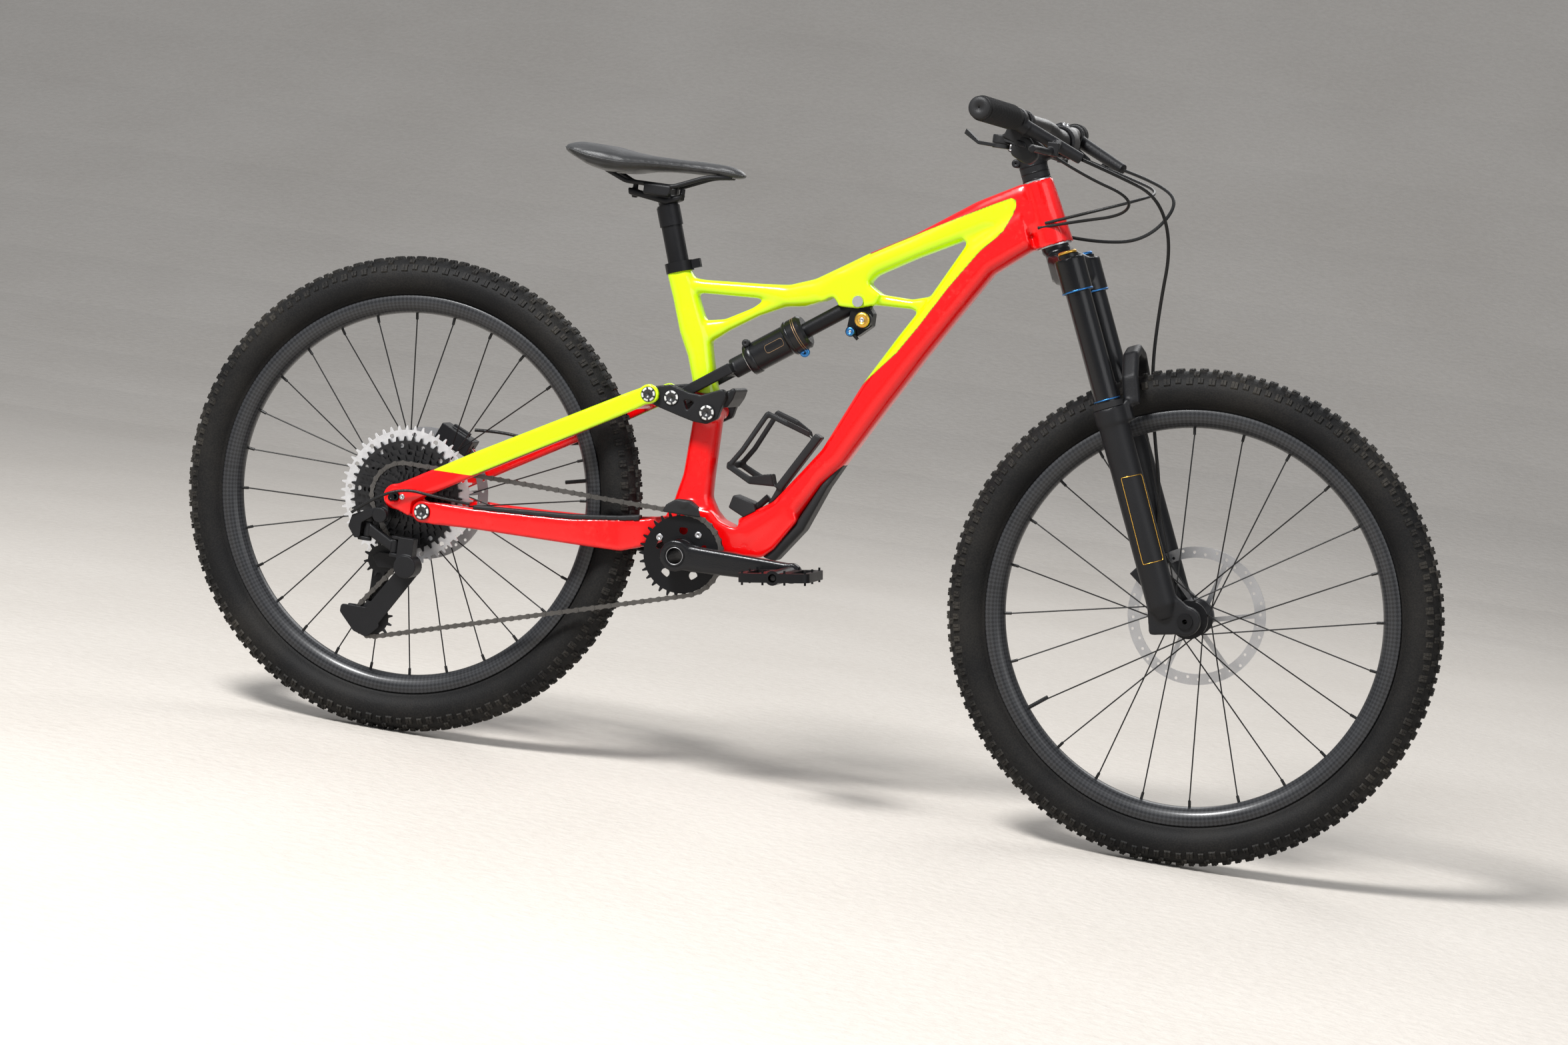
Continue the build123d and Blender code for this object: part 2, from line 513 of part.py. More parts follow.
def rim(axle, valve_angle):
    """Hollow hooked rim with a valve hole."""
    half = RIM_WIDTH / 2
    outer = Polyline(
        (RIM_INNER_R, -5), (RIM_INNER_R, 5), (277, half - 3), (285, half), (RIM_OUTER_R, half),
        (RIM_OUTER_R, half - 3.3), (290, half - 3.3), (288, 6), (286, 0), (288, -6),
        (290, 3.3 - half), (RIM_OUTER_R, 3.3 - half), (RIM_OUTER_R, -half), (285, -half), (277, 3 - half),
        close=True,
    )  # fmt: skip
    inner = Polyline((274, -4), (274, 4), (279, half - 4.5), (285, half - 3), (284, 0), (285, 3 - half), (279, 4.5 - half), close=True)
    shape = turned(make_face(outer) - make_face(inner), axle)
    x, z = on_rotor(axle, valve_angle, 255)
    tip = on_rotor(axle, valve_angle, 305)
    return shape - rod((x, 0, z), (tip[0], 0, tip[1]), 3.2)


def tyre(axle):
    """Hollow tyre casing with its beads in the rim."""
    mid = WHEEL_R - TYRE_WIDTH / 2
    big = TYRE_WIDTH / 2
    small = big - 3
    bead = RIM_WIDTH / 2 - 3.5
    edge = Polyline((RIM_OUTER_R + 0.4, big * 0.63), (RIM_OUTER_R + 0.4, bead), (BEAD_R, bead), (BEAD_R, bead - 4), (mid - 24, bead - 3), (mid - 22, small * 0.66))
    lead = Line((RIM_OUTER_R + 0.4, big * 0.63), (mid - 20.6, 25.6))
    crown = ThreePointArc((mid - 20.6, 25.6), (WHEEL_R, 0), (mid - 20.6, -25.6))
    inside = ThreePointArc((mid - 22, small * 0.66), (mid + small - 3, 0), (mid - 22, -small * 0.66))
    wires = [edge, lead, crown, inside, mirror(edge, about=Plane.XZ), mirror(lead, about=Plane.XZ)]
    return turned(make_face([e for w in wires for e in w.edges()]), axle)


def spokes(axle, count, flange_y, flange_r):
    """Crossed spokes with nipples, from the two hub flanges to the rim."""
    wires = []
    for index in range(count):
        side = 1 if index % 2 else -1
        lead = 1 if (index // 2) % 2 else -1
        angle = 360 * (index + 0.5) / count
        start = on_rotor(axle, angle + lead * 62, flange_r)
        nipple = on_rotor(axle, angle, 262)
        end = on_rotor(axle, angle, RIM_INNER_R + 1)
        y = flange_y[(side + 1) // 2] + side * lead * 1.6
        wires.append(rod((start[0], y, start[1]), (nipple[0], side * 2.5, nipple[1]), 1))
        wires.append(rod((nipple[0], side * 2.5, nipple[1]), (end[0], side * 2, end[1]), 2.1))
    return wires


def valve(axle, angle):
    """Air valve standing in from the rim."""
    start = on_rotor(axle, angle, 286)
    end = on_rotor(axle, angle, 240)
    return rod((start[0], 0, start[1]), (end[0], 0, end[1]), 2.9)


def rotor(axle, y):
    """Slotted brake disc on a six-armed carrier."""
    band = Circle(ROTOR_R) - Circle(ROTOR_R - 16)
    for index in range(36):
        band -= Rot(0, 0, index * 10) * Pos(ROTOR_R - 8 + 3 * (index % 3 - 1), 0) * Circle(2.2)
    shape = band + (Circle(26) - Circle(15))
    for index in range(6):
        shape += Rot(0, 0, index * 60) * Pos(55, 6) * Rot(0, 0, 14) * Rectangle(66, 7)
    return upright(Pos(*axle) * shape, y - 0.9, y + 0.9)


def hub(axle, half, flange_y, flange_r, rotor_y, freehub_y):
    """Hub shell with two flanges and the disc's seat."""
    barrel = 15
    points = [
        (6 + RUNNING_GAP, -half), (10, -half), (10, freehub_y - 0.5), (17, freehub_y - 0.5), (17, flange_y[0] - 3.5),
        (flange_r + 3.5, flange_y[0] - 3), (flange_r + 3.5, flange_y[0] + 3), (barrel, flange_y[0] + 9),
        (barrel, flange_y[1] - 9), (flange_r + 3.5, flange_y[1] - 3), (flange_r + 3.5, flange_y[1] + 3), (22, flange_y[1] + 4),
        (22, rotor_y - 1), (14.9, rotor_y - 1), (14.9, rotor_y + 4), (10, rotor_y + 5), (10, half), (6 + RUNNING_GAP, half),
    ]  # fmt: skip
    return turned(outline(points), axle)


for name, axle, half, flanges, count, rotor_y, freehub_y, valve_angle in (
    ("front", FRONT_AXLE, FRONT_HUB / 2, (-38, 24), FRONT_SPOKES, FRONT_ROTOR_Y, -48, 217.5),
    ("rear", REAR_AXLE, REAR_HUB / 2, (-19, 36), REAR_SPOKES, REAR_ROTOR_Y, -65.4, 12.8),
):
    save(f"{name}_rim", rim(axle, valve_angle))
    save(f"{name}_tyre", tyre(axle))
    save(f"{name}_spokes", *spokes(axle, count, flanges, 24), valve(axle, valve_angle))
    save(f"{name}_hub", hub(axle, half, flanges, 24, rotor_y, freehub_y))
    save(f"{name}_rotor", rotor(axle, rotor_y))

# --------------------------------------------------------------- rear triangle
stay = limb(
    ((-196, 386), (-192, 354), 27, 38),
    ((-222, 378), (-220, 336), 34.5, 45.5),
    ((-256, 373), (-250, 326), 38.5, 48),
    ((-327, 364), (-327, 326), 46, 62),
    ((-399, 360), (-399, 326), 52, 67),
    ((-474, 357), (-474, 326), 58.5, 73),
    ((-518, 358), (-518, 325), 62, 79),
    ((-530, 358), (-530, 324), 72.4, 80),
    ((-552, 355), (-552, 326), 72.4, 80),
    corner=0.3,
)
stay = stay + disc(MAIN_PIVOT, 16.5, 27, 38) + disc(HORST_PIVOT, 17, 72.4, 80)
stay_bridge = block(-223, -209, -36, 36, 350, 378)
chainstays = both_sides(stay) + stay_bridge
save("chainstays", chainstays - disc(MAIN_PIVOT, 7.9, -45, 45) - disc(HORST_PIVOT, 8, -90, 90))
guard = limb(
    ((-226, 384), (-226, 374), -47.5, -36),
    ((-256, 378), (-256, 370), -49, -38),
    ((-327, 370), (-327, 362), -62, -46),
    ((-399, 366), (-399, 358), -67, -52),
    ((-474, 362), (-474, 355), -73, -59),
    corner=0.2,
)
save("chainstay_guard", guard - chainstays)
pivot_pins = disc(MAIN_PIVOT, 8, -38, 38) + both_sides(disc(MAIN_PIVOT, 11, 38.1, 40.5))
horst_pins = both_sides(disc(HORST_PIVOT, 7.9, 66.5, 82) + disc(HORST_PIVOT, 12, 80.1, 82.5))
save("chainstay_pivots", pivot_pins, horst_pins)

seatstay = limb(
    ((-600, 372), (-586, 342), 70.3, 80),
    ((-575, 386), (-560, 356), 66.3, 80),
    ((-480, 441), (-464, 412), 61, 75),
    ((-350, 513), (-335, 486), 54, 68),
    ((-262, 562), (-248, 538), 50.4, 61),
    ((-238, 574), (-228, 552), 50.4, 60),
    corner=0.3,
)
dropout = disc(REAR_AXLE, 19, 70.3, 80) + plate(((-612, 362), (-600, 374), (-568, 368), (-566, 330), (-600, 342)), 70.3, 80, 4)
horst_tab = plate(((-580, 366), (-560, 362), (-540, 356), (-536, 330), (-556, 326), (-582, 336)), 66.3, 72, 4)
seatstay = seatstay + dropout + horst_tab + disc(HORST_PIVOT, 14.5, 66.3, 72) + disc(LINK_REAR, 15, 50.4, 60)
stay_cross = rod((-263, -54, 541), (-263, 54, 541), 7)
brake_post = rod((-546, 66, 436), (-520, 68, 410), 7) + rod((-546, 66, 436), (-548, 62, 446), 6)
seatstays = both_sides(seatstay) + stay_cross + rod((-520, 66, 396), (-535, 66, 432), 8)
seatstays = seatstays - both_sides(disc(HORST_PIVOT, 7.95, 60, 75)) - disc(REAR_AXLE, 6, -90, 90)
seatstays = seatstays - disc(REAR_AXLE, 11, -REAR_HUB / 2 - 0.3, REAR_HUB / 2 + 0.3)
save("seatstays", seatstays)
rear_axle = disc(REAR_AXLE, 6, -82, 82) + disc(REAR_AXLE, 9, 80.1, 83) - disc(REAR_AXLE, 3.5, -90, 90)
save("rear_axle", rear_axle)
rear_caliper = caliper(on_rotor(REAR_AXLE, 66, ROTOR_R - 6), 24, REAR_ROTOR_Y)
save("rear_caliper", rear_caliper - seatstays)
rear_hose_tail = hose(
    ((-350, 68, 470), (-420, 74, 452), (-480, 76, 466), (-530, 62, 462)),
    (60, 60), 2.5,
)  # fmt: skip

link_plate = plate(
    (
        (-246, 570), (-205, 580), (-175, 572), (-158, 571), (-140, 579), (-126, 585), (-120, 574),
        (-125, 558), (-129, 540), (-145, 530), (-165, 531), (-187, 536), (-222, 545), (-247, 553),
    ),
    36, 50, 4,
)  # fmt: skip
link_window = plate(((-184, 561), (-166, 560), (-176, 545)), 30, 55, 2)
link_bridge = plate(((-131, 562), (-125, 579), (-115, 588), (-110, 584), (-113, 571), (-121, 556)), -36.5, 36.5, 2.5)
link = both_sides(link_plate - link_window) + link_bridge
link = link - disc(LINK_MAIN, 6, -60, 60) - disc(YOKE_BOLT, 5, -60, 60)
save("rocker_link", link)
link_axle = disc(LINK_MAIN, 6, -50, 50) + both_sides(disc(LINK_MAIN, 11.5, 50.1, 52.5))
yoke_bolts = both_sides(disc(YOKE_BOLT, 4.9, 35, 50) + disc(YOKE_BOLT, 11.5, 50.1, 50.3))
save("link_bolts", link_axle, yoke_bolts)

eyelet = disc(SHOCK_MOUNT, 11, -11.9, 11.9)
damper = SHOCK * Pos(0, 0, 8) * Cylinder(11.5, 114, align=UP)
piggyback = plate(((40, 742), (57, 742), (72, 722), (72, 704), (52, 686), (40, 686), (36, 700)), -11.9, 11.9, 5)
dials = disc((60, 712), 13, -26, -11) + disc((44, 693), 7.5, -22, -11)
dial_lever = rod((44, -20, 693), (56, -20, 683), 2.5)
shock_fixed = eyelet + damper + piggyback + dials + dial_lever - disc(SHOCK_MOUNT, 4.9 + RUNNING_GAP, -20, 20)
save("shock_damper", shock_fixed)
can = SHOCK * (
    Pos(0, 0, 91) * Cone(22, 26, 4, align=UP) + Pos(0, 0, 95) * Cylinder(26, 23, align=UP)
    + Pos(0, 0, 118) * Cylinder(22.5, 70, align=UP)
)
can = can - SHOCK * Pos(0, 0, 80) * Cylinder(11.5 + RUNNING_GAP, 105, align=UP)
valve_stem = rod((-123, 0, 660), (-123, 0, 647), 5)
save("shock_air_can", can)
neck = SHOCK * Pos(0, 0, 188.1) * Cylinder(15, 27, align=UP)
cross = SHOCK * Pos(0, 0, 218) * Box(68, 16, 14)
rail = SHOCK * Pos(29.5, 0, 211) * Box(9, 16, SHOCK_LENGTH - 211, align=UP)
yoke = neck + cross + rail + mirror(rail, about=Plane.XZ) + both_sides(disc(YOKE_BOLT, 11, 25, 34))
save("shock_yoke", yoke)

# ------------------------------------------------------------------ drivetrain
spindle = disc(BB, 14.5, -62, 62) - disc(BB, 12, -95, 95)
arm = limb(
    ((-158, 357), (-158, 315), -88, -60),
    ((-120, 354), (-120, 316), -87, -66),
    ((-30, 352), (-30, 320), -87, -71),
    ((20, 351), (20, 323), -87, -72),
    corner=0.35,
)
arm = arm + disc(BB, 23, -88, -58) + disc((20, 337), 15, -87, -72) - disc(BB, 12, -95, -50) - disc((20, 337), 6, -95, -65)
pedal_axle = disc((20, 337), 6, -192, -72)
left_arm = mirror(mirror(arm, about=Plane.XZ), about=Plane(origin=(BB[0], 0, 0), z_dir=(1, 0, 0)))
left_axle = disc((2 * BB[0] - 20, 337), 6, 72, 192)
save("crank_arms", arm + left_arm + spindle, pedal_axle, left_axle)

web = Circle(44) - Circle(23.5)
for index in range(5):
    web -= Rot(0, 0, index * 72 + 20) * Pos(36, 0) * Circle(6.5)
ring_face = sprocket(RING_TEETH, 40) + web
save("chainring", upright(Pos(*BB) * ring_face, RING_Y - 1.3, RING_Y + 1.3) + ring(BB, 26, 23.5, -58, RING_Y + 1.3))


def pedal(centre, y0, y1):
    """Flat platform with traction pins, its front a little raised."""
    frame_face = RectangleRounded(104, y1 - y0, 12)
    for dx in (-33, 33):
        frame_face -= Pos(dx, 0) * RectangleRounded(20, 76, 5)
    body = extrude(frame_face, 6.5, both=True)
    body = body + Cylinder(10.5, y1 - y0).rotate(Axis.X, 90)
    for dx in (-46, -16, 16, 46):
        for dy in (-44, 0, 44):
            if abs(dx) > 20 or dy:
                body = body + Pos(dx, dy, 0) * Cylinder(1.6, 21)
    body = body - Cylinder(6 + RUNNING_GAP, 300).rotate(Axis.X, 90)
    return Pos(centre[0], (y0 + y1) / 2, centre[1]) * Rot(0, -8, 0) * body


save("pedal_right", pedal((20, 337), -196, -93))
save("pedal_left", pedal((2 * BB[0] - 20, 337), 93, 196))

cogs = []
for index, teeth in enumerate(COGS):
    y = COG_Y + (index - COGS.index(COG_IN_USE)) * COG_STEP
    face = sprocket(teeth, 17 + RUNNING_GAP)
    if teeth > 20:
        count = teeth // 3
        for hole in range(count):
            face -= Rot(0, 0, 360 * hole / count) * Pos(pitch_radius(teeth) - 10.5, 0) * Circle(3.6)
    if teeth > 30:
        for hole in range(10):
            face -= Rot(0, 0, 36 * hole) * Pos(pitch_radius(teeth) * 0.62, 0) * Circle(7)
    cogs.append(upright(Pos(*REAR_AXLE) * face, y - 0.9, y + 0.9))
    if index:
        cogs.append(ring(REAR_AXLE, 18.5, 17 + RUNNING_GAP, y - COG_STEP + 0.9, y - 0.9))
cassette = cogs[0]
for cog in cogs[1:]:
    cassette = cassette + cog
save("cassette", cassette)


def belt(sprockets, offset):
    """Closed outline of a chain led round sprockets of (centre, radius, sense), offset outwards."""
    spans = []
    for (c0, r0, s0), (c1, r1, s1) in zip(sprockets, sprockets[1:] + sprockets[:1]):
        r0 = s0 * r0 + offset
        r1 = s1 * r1 + offset
        gap = (c1[0] - c0[0], c1[1] - c0[1])
        across = r0 - r1
        along = sqrt(gap[0] ** 2 + gap[1] ** 2 - across**2)
        heading = atan2(gap[1], gap[0]) - atan2(across, along)
        normal = (-sin(heading), cos(heading))
        start = (c0[0] + r0 * normal[0], c0[1] + r0 * normal[1])
        end = (c1[0] + r1 * normal[0], c1[1] + r1 * normal[1])
        spans.append((start, end, heading))
    edges = []
    for index, (start, end, heading) in enumerate(spans):
        centre, radius, sense = sprockets[(index + 1) % len(sprockets)]
        radius = radius * sense + offset
        following = spans[(index + 1) % len(spans)]
        turn = (following[2] - heading) % (2 * pi)
        turn = turn - 2 * pi if sense > 0 else turn
        middle = heading + turn / 2
        top = (centre[0] - radius * sin(middle), centre[1] + radius * cos(middle))
        edges.append(Line(start, end))
        edges.append(ThreePointArc(end, top, following[0]))
    return make_face([e for curve in edges for e in curve.edges()])


round_trip = [
    (BB, pitch_radius(RING_TEETH), 1),
    (LOWER_PULLEY, pitch_radius(LOWER_PULLEY_TEETH), 1),
    (UPPER_PULLEY, pitch_radius(UPPER_PULLEY_TEETH), -1),
    (REAR_AXLE, pitch_radius(COG_IN_USE), 1),
]
loop = belt(round_trip, 4.2) - belt(round_trip, -4.2)
lean = atan2(COG_Y - RING_Y, REAR_AXLE[0] - BB[0]) * 180 / pi - 180
chain_plates = [
    Pos(BB[0], RING_Y, 0) * Rot(0, 0, lean) * Pos(-BB[0], 0, 0) * upright(loop, y, y + 0.9) for y in (-2.4, 1.5)
]
# Room for the teeth beside the plates, where the chain stands a little askew
tooth_room = disc(BB, 66, RING_Y - 1.5, RING_Y + 1.5) + disc(REAR_AXLE, 54, COG_Y - 1.2, COG_Y + 1.2)
tooth_room = tooth_room + ring(REAR_AXLE, 62, 18, COG_Y + 2.2, COG_Y + 5)
tooth_room = tooth_room + ring(REAR_AXLE, 45.5, 18, COG_Y - 5, COG_Y - 2.2)
for place in (UPPER_PULLEY, LOWER_PULLEY):
    tooth_room = tooth_room + disc(place, 34, COG_Y - 1.3, COG_Y + 1.3)
save("chain", *[plates - tooth_room for plates in chain_plates])

# ------------------------------------------------------------------ derailleur
b_body = plate(((-603, 336), (-616, 338), (-652, 322), (-656, 304), (-644, 288), (-636, 290), (-636, 312)), -92, -70, 3)
b_body = b_body + plate(((-612, 345), (-600, 341), (-596, 320), (-618, 318)), -86, -80.4, 3) + disc((-609, 327), 11, -94, -80.4)
hanger = plate(((-614, 336), (-600, 336), (-600, 318), (-616, 318)), -84, -72, 3)
ears = [Pos(-628, -80, z) * Cylinder(7, h) for z, h in ((317.2, 5.8), (288.8, 5.8))]
ear_arms = block(-640, -628, -87, -73, 314.3, 320) + block(-640, -628, -87, -73, 286, 291.7)
b_knuckle = b_body + hanger + ears[0] + ears[1] + ear_arms - seatstays
b_knuckle = b_knuckle - Pos(-628, -80, 303) * Cylinder(12, 22.6)
save("derailleur_base", b_knuckle)
links = Pos(-628, -80, 303) * Cylinder(6, 22) + Pos(-584, -78, 284) * Cylinder(6, 20)
links = links + limb(((-624, 312), (-624, 294), -87, -73), ((-588, 292), (-588, 276), -85, -71), corner=0.2)
save("derailleur_links", links)
knuckle = disc(CAGE_PIVOT, 17, -95, -62) + block(-576, -552, -90, -70, 262, 299)
knuckle = knuckle + block(-584, -570, -85, -71, 294.3, 299) + block(-584, -570, -85, -71, 268, 273.7)
knuckle = knuckle + Pos(-584, -78, 296.65) * Cylinder(7, 4.7) + Pos(-584, -78, 270.85) * Cylinder(7, 5.7)
knuckle = knuckle - Pos(-584, -78, 284) * Cylinder(10.5, 20.6) - disc(CAGE_PIVOT, 5 + RUNNING_GAP, -80, -50)
save("derailleur_knuckle", knuckle)

outer_plate = plate(((-574, 262), (-560, 271), (-546, 258), (-552, 243), (-604, 160), (-622, 150), (-634, 170)), -56, -53, 5)
outer_plate = outer_plate + plate(((-612, 184), (-664, 184), (-665, 172), (-640, 146), (-618, 140), (-600, 158)), -56, -53, 5)
inner_plate = plate(((-628, 262), (-616, 272), (-602, 262), (-602, 170), (-612, 154), (-630, 166)), -37, -34.5, 5)
cage_axle = disc(CAGE_PIVOT, 5, -78, -53) + disc(CAGE_PIVOT, 13, -61.7, -53)
back_bar = rod((-655, -56, 178), (-655, -34.5, 178), 3) + plate(((-630, 185), (-660, 184), (-660, 172), (-626, 168)), -37, -34.5, 2)
top_arm = plate(((-626, 262), (-614, 270), (-560, 268), (-556, 250), (-614, 246)), -56, -53, 3)
derailleur_cage = outer_plate + inner_plate + cage_axle + back_bar + top_arm
for place in (UPPER_PULLEY, LOWER_PULLEY):
    derailleur_cage = derailleur_cage + disc(place, 3.5, -56, -34.5)
save("derailleur_cage", derailleur_cage)
for node, place, teeth in (
    ("pulley_upper", UPPER_PULLEY, UPPER_PULLEY_TEETH),
    ("pulley_lower", LOWER_PULLEY, LOWER_PULLEY_TEETH),
):
    wheel = upright(Pos(*place) * sprocket(teeth, 3.5 + RUNNING_GAP), COG_Y - 1.1, COG_Y + 1.1)
    save(node, wheel + ring(place, 9, 3.5 + RUNNING_GAP, COG_Y - 5, COG_Y + 5))

shift_rear = hose(
    ((-480, -70, 362), (-530, -84, 366), (-576, -90, 372), (-620, -98, 352), (-652, -94, 325)),
    (50, 60, 30), 2.2,
)  # fmt: skip
save("rear_hose_and_housing", rear_hose_tail - rear_caliper - seatstays, shift_rear)
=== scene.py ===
"""Full-suspension mountain bike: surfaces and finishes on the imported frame, in metres, x forward, y left, z up."""
import json
from math import atan2, cos, pi, radians, sin, sqrt
import bpy
import numpy as np
from mathutils import Matrix, Vector

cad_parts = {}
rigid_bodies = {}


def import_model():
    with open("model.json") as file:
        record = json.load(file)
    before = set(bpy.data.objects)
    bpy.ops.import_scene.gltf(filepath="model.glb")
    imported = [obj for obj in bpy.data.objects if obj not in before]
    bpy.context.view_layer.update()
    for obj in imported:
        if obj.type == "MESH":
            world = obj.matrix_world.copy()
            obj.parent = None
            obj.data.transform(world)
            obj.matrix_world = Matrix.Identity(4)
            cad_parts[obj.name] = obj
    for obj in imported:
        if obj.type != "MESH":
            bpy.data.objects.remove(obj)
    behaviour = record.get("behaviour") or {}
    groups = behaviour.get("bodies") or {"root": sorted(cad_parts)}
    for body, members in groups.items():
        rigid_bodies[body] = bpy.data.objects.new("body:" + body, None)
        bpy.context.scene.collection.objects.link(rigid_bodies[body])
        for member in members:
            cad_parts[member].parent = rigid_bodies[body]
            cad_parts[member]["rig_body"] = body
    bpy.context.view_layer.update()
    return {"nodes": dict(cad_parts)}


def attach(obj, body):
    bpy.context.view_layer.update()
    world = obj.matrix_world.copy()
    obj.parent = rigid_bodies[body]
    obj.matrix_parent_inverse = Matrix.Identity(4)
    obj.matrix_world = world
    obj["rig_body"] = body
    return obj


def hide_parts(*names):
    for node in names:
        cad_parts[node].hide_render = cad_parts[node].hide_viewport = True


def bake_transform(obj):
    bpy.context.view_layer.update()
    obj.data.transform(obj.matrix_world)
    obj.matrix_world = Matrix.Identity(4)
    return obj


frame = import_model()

# ------------------------------------------------------------------ studio
# A pale sand floor swept up behind, under a soft sky, with one large key light over the drive side.
# The camera stands low in front of the bike's right side.


class Socket:
    """A material socket; arithmetic on it makes the nodes that do the sum."""

    def __init__(self, tree, out):
        self.tree = tree
        self.out = out

    def node(self, kind, out=0, props=None, **inputs):
        """Make one node with the given settings and inputs, and return one of its outputs."""
        made = self.tree.nodes.new("ShaderNode" + kind)
        for key, value in (props or {}).items():
            setattr(made, key, value)
        for key, value in inputs.items():
            slot = made.inputs[int(key[1:]) if key[1:].isdigit() else key.replace("_", " ")]
            if isinstance(value, Socket):
                self.tree.links.new(value.out, slot)
            else:
                slot.default_value = value
        return Socket(self.tree, made.outputs[out])

    def math(self, what, *others):
        """One step of arithmetic."""
        given = {"i0": self} | {f"i{n + 1}": other for n, other in enumerate(others)}
        return self.node("Math", props={"operation": what}, **given)

    def __add__(self, other): return self.math("ADD", other)
    def __radd__(self, other): return self.math("ADD", other)
    def __sub__(self, other): return self.math("SUBTRACT", other)
    def __rsub__(self, other): return self.math("MULTIPLY", -1.0).math("ADD", other)
    def __mul__(self, other): return self.math("MULTIPLY", other)
    def __rmul__(self, other): return self.math("MULTIPLY", other)
    def __gt__(self, other): return self.math("GREATER_THAN", other)
    def __lt__(self, other): return self.math("LESS_THAN", other)

    def step(self, low, high):
        """Rise smoothly from 0 at low to 1 at high."""
        return self.node("MapRange", props={"interpolation_type": "SMOOTHSTEP"}, Value=self, i1=low, i2=high)

    def mix(self, a, b):
        """Blend colour a into colour b by this factor."""
        return self.node("Mix", out=2, props={"data_type": "RGBA"}, i0=self, i6=a, i7=b)


class Surface:
    """One procedural material: places, noises and the final shader."""

    def __init__(self, name, **constant):
        self.made = bpy.data.materials.new(name)
        self.made.use_nodes = True
        self.tree = self.made.node_tree
        self.shader = self.tree.nodes["Principled BSDF"]
        for key, value in constant.items():
            self.shader.inputs[key.replace("_", " ")].default_value = value
        self.start = Socket(self.tree, None)
        self.place = self.start.node("TexCoord", out=3)
        parts = self.tree.nodes.new("ShaderNodeSeparateXYZ")
        self.tree.links.new(self.place.out, parts.inputs[0])
        self.x, self.y, self.z = (Socket(self.tree, out) for out in parts.outputs)

    def noise(self, scale, detail):
        """Fractal noise from 0 to 1."""
        return self.start.node("TexNoise", Vector=self.place, Scale=scale, Detail=detail, Roughness=0.55)

    def set(self, bump=None, depth=0.001, **inputs):
        """Plug values into the shader and return the material."""
        for key, value in inputs.items():
            self.tree.links.new(value.out, self.shader.inputs[key.replace("_", " ")])
        if bump:
            made = self.start.node("Bump", Height=bump, Distance=depth, Strength=1.0)
            self.tree.links.new(made.out, self.shader.inputs["Normal"])
        return self.made


def piece(name, verts, faces, material, body=None, node=None, smooth=True):
    """Make a mesh piece from point and face arrays; it rides a body and may stand for a CAD node."""
    mesh = bpy.data.meshes.new(name)
    mesh.from_pydata(np.asarray(verts, float).tolist(), [], [list(map(int, f)) for f in faces])
    mesh.polygons.foreach_set("use_smooth", [smooth] * len(mesh.polygons))
    mesh.materials.append(material)
    made = bpy.data.objects.new(name, mesh)
    bpy.context.scene.collection.objects.link(made)
    if node:
        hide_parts(node)
    if body:
        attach(made, body)
    return made


def grid(points, close_u=False, close_v=False):
    """Join an array of points, shaped rows by columns, into one sheet of quads."""
    rows, columns = points.shape[:2]
    u = np.arange(rows if close_u else rows - 1)
    v = np.arange(columns if close_v else columns - 1)
    a, b = np.meshgrid(u, v, indexing="ij")
    a1, b1 = (a + 1) % rows, (b + 1) % columns
    faces = np.stack([a * columns + b, a * columns + b1, a1 * columns + b1, a1 * columns + b], -1)
    return points.reshape(-1, 3), faces.reshape(-1, 4)


FLOOR_HALF_WIDTH, FLOOR_NEAR, FLOOR_FAR, SWEEP_FROM = 30, -12, 22, 4.0
KEY_LIGHT, FILL_LIGHT, RIM_LIGHT = (-1.4, -3.2, 4.6), (3.8, -3.0, 2.2), (0.5, 3.6, 3.2)
sand = Surface("pale_sand", Roughness=0.9)
drift, grit = sand.noise(1.3, 6), sand.noise(55.0, 5)
pale = (drift * 0.55 + grit * 0.45).mix((0.40, 0.365, 0.325, 1), (0.60, 0.565, 0.52, 1))
sweep = np.linspace(FLOOR_NEAR, FLOOR_FAR, 69)
sides = (-FLOOR_HALF_WIDTH, FLOOR_HALF_WIDTH)
floor_points = np.array([[(x, y, 0.06 * max(y - SWEEP_FROM, 0) ** 2) for y in sweep] for x in sides], float)
floor_finish = sand.set(bump=grit, depth=0.003, Base_Color=pale)
floor = piece("floor", *grid(floor_points), floor_finish, smooth=False)
world = bpy.data.worlds.new("sky")
world.use_nodes = True
world.node_tree.nodes["Background"].inputs["Color"].default_value = (0.8, 0.84, 0.9, 1)
world.node_tree.nodes["Background"].inputs["Strength"].default_value = 0.5
bpy.context.scene.world = world
bpy.context.scene.view_settings.view_transform = "Standard"
for name, place, size, power in (
    ("key", KEY_LIGHT, 1.3, 520), ("fill", FILL_LIGHT, 3.0, 60), ("rim", RIM_LIGHT, 2.6, 70),
):
    lamp = bpy.data.lights.new(name, "AREA")
    lamp.size = size
    lamp.energy = power
    light = bpy.data.objects.new(name, lamp)
    light.location = place
    light.rotation_euler = (Vector((0, 0, 0.5)) - Vector(place)).to_track_quat("-Z", "Y").to_euler()
    bpy.context.scene.collection.objects.link(light)
lens = bpy.data.cameras.new("camera")
lens.lens = 89.92
lens.sensor_width = 36
camera = bpy.data.objects.new("camera", lens)
right, up = Vector((0.96126, 0.24010, 0.13535)), Vector((-0.15083, 0.04720, 0.98743))
back = Vector((0.23070, -0.96960, 0.08159))
stand = Matrix.Translation((1.30298, -5.56246, 0.86966))
camera.matrix_world = stand @ Matrix((right, up, back)).transposed().to_4x4()
bpy.context.scene.collection.objects.link(camera)
bpy.context.scene.camera = camera

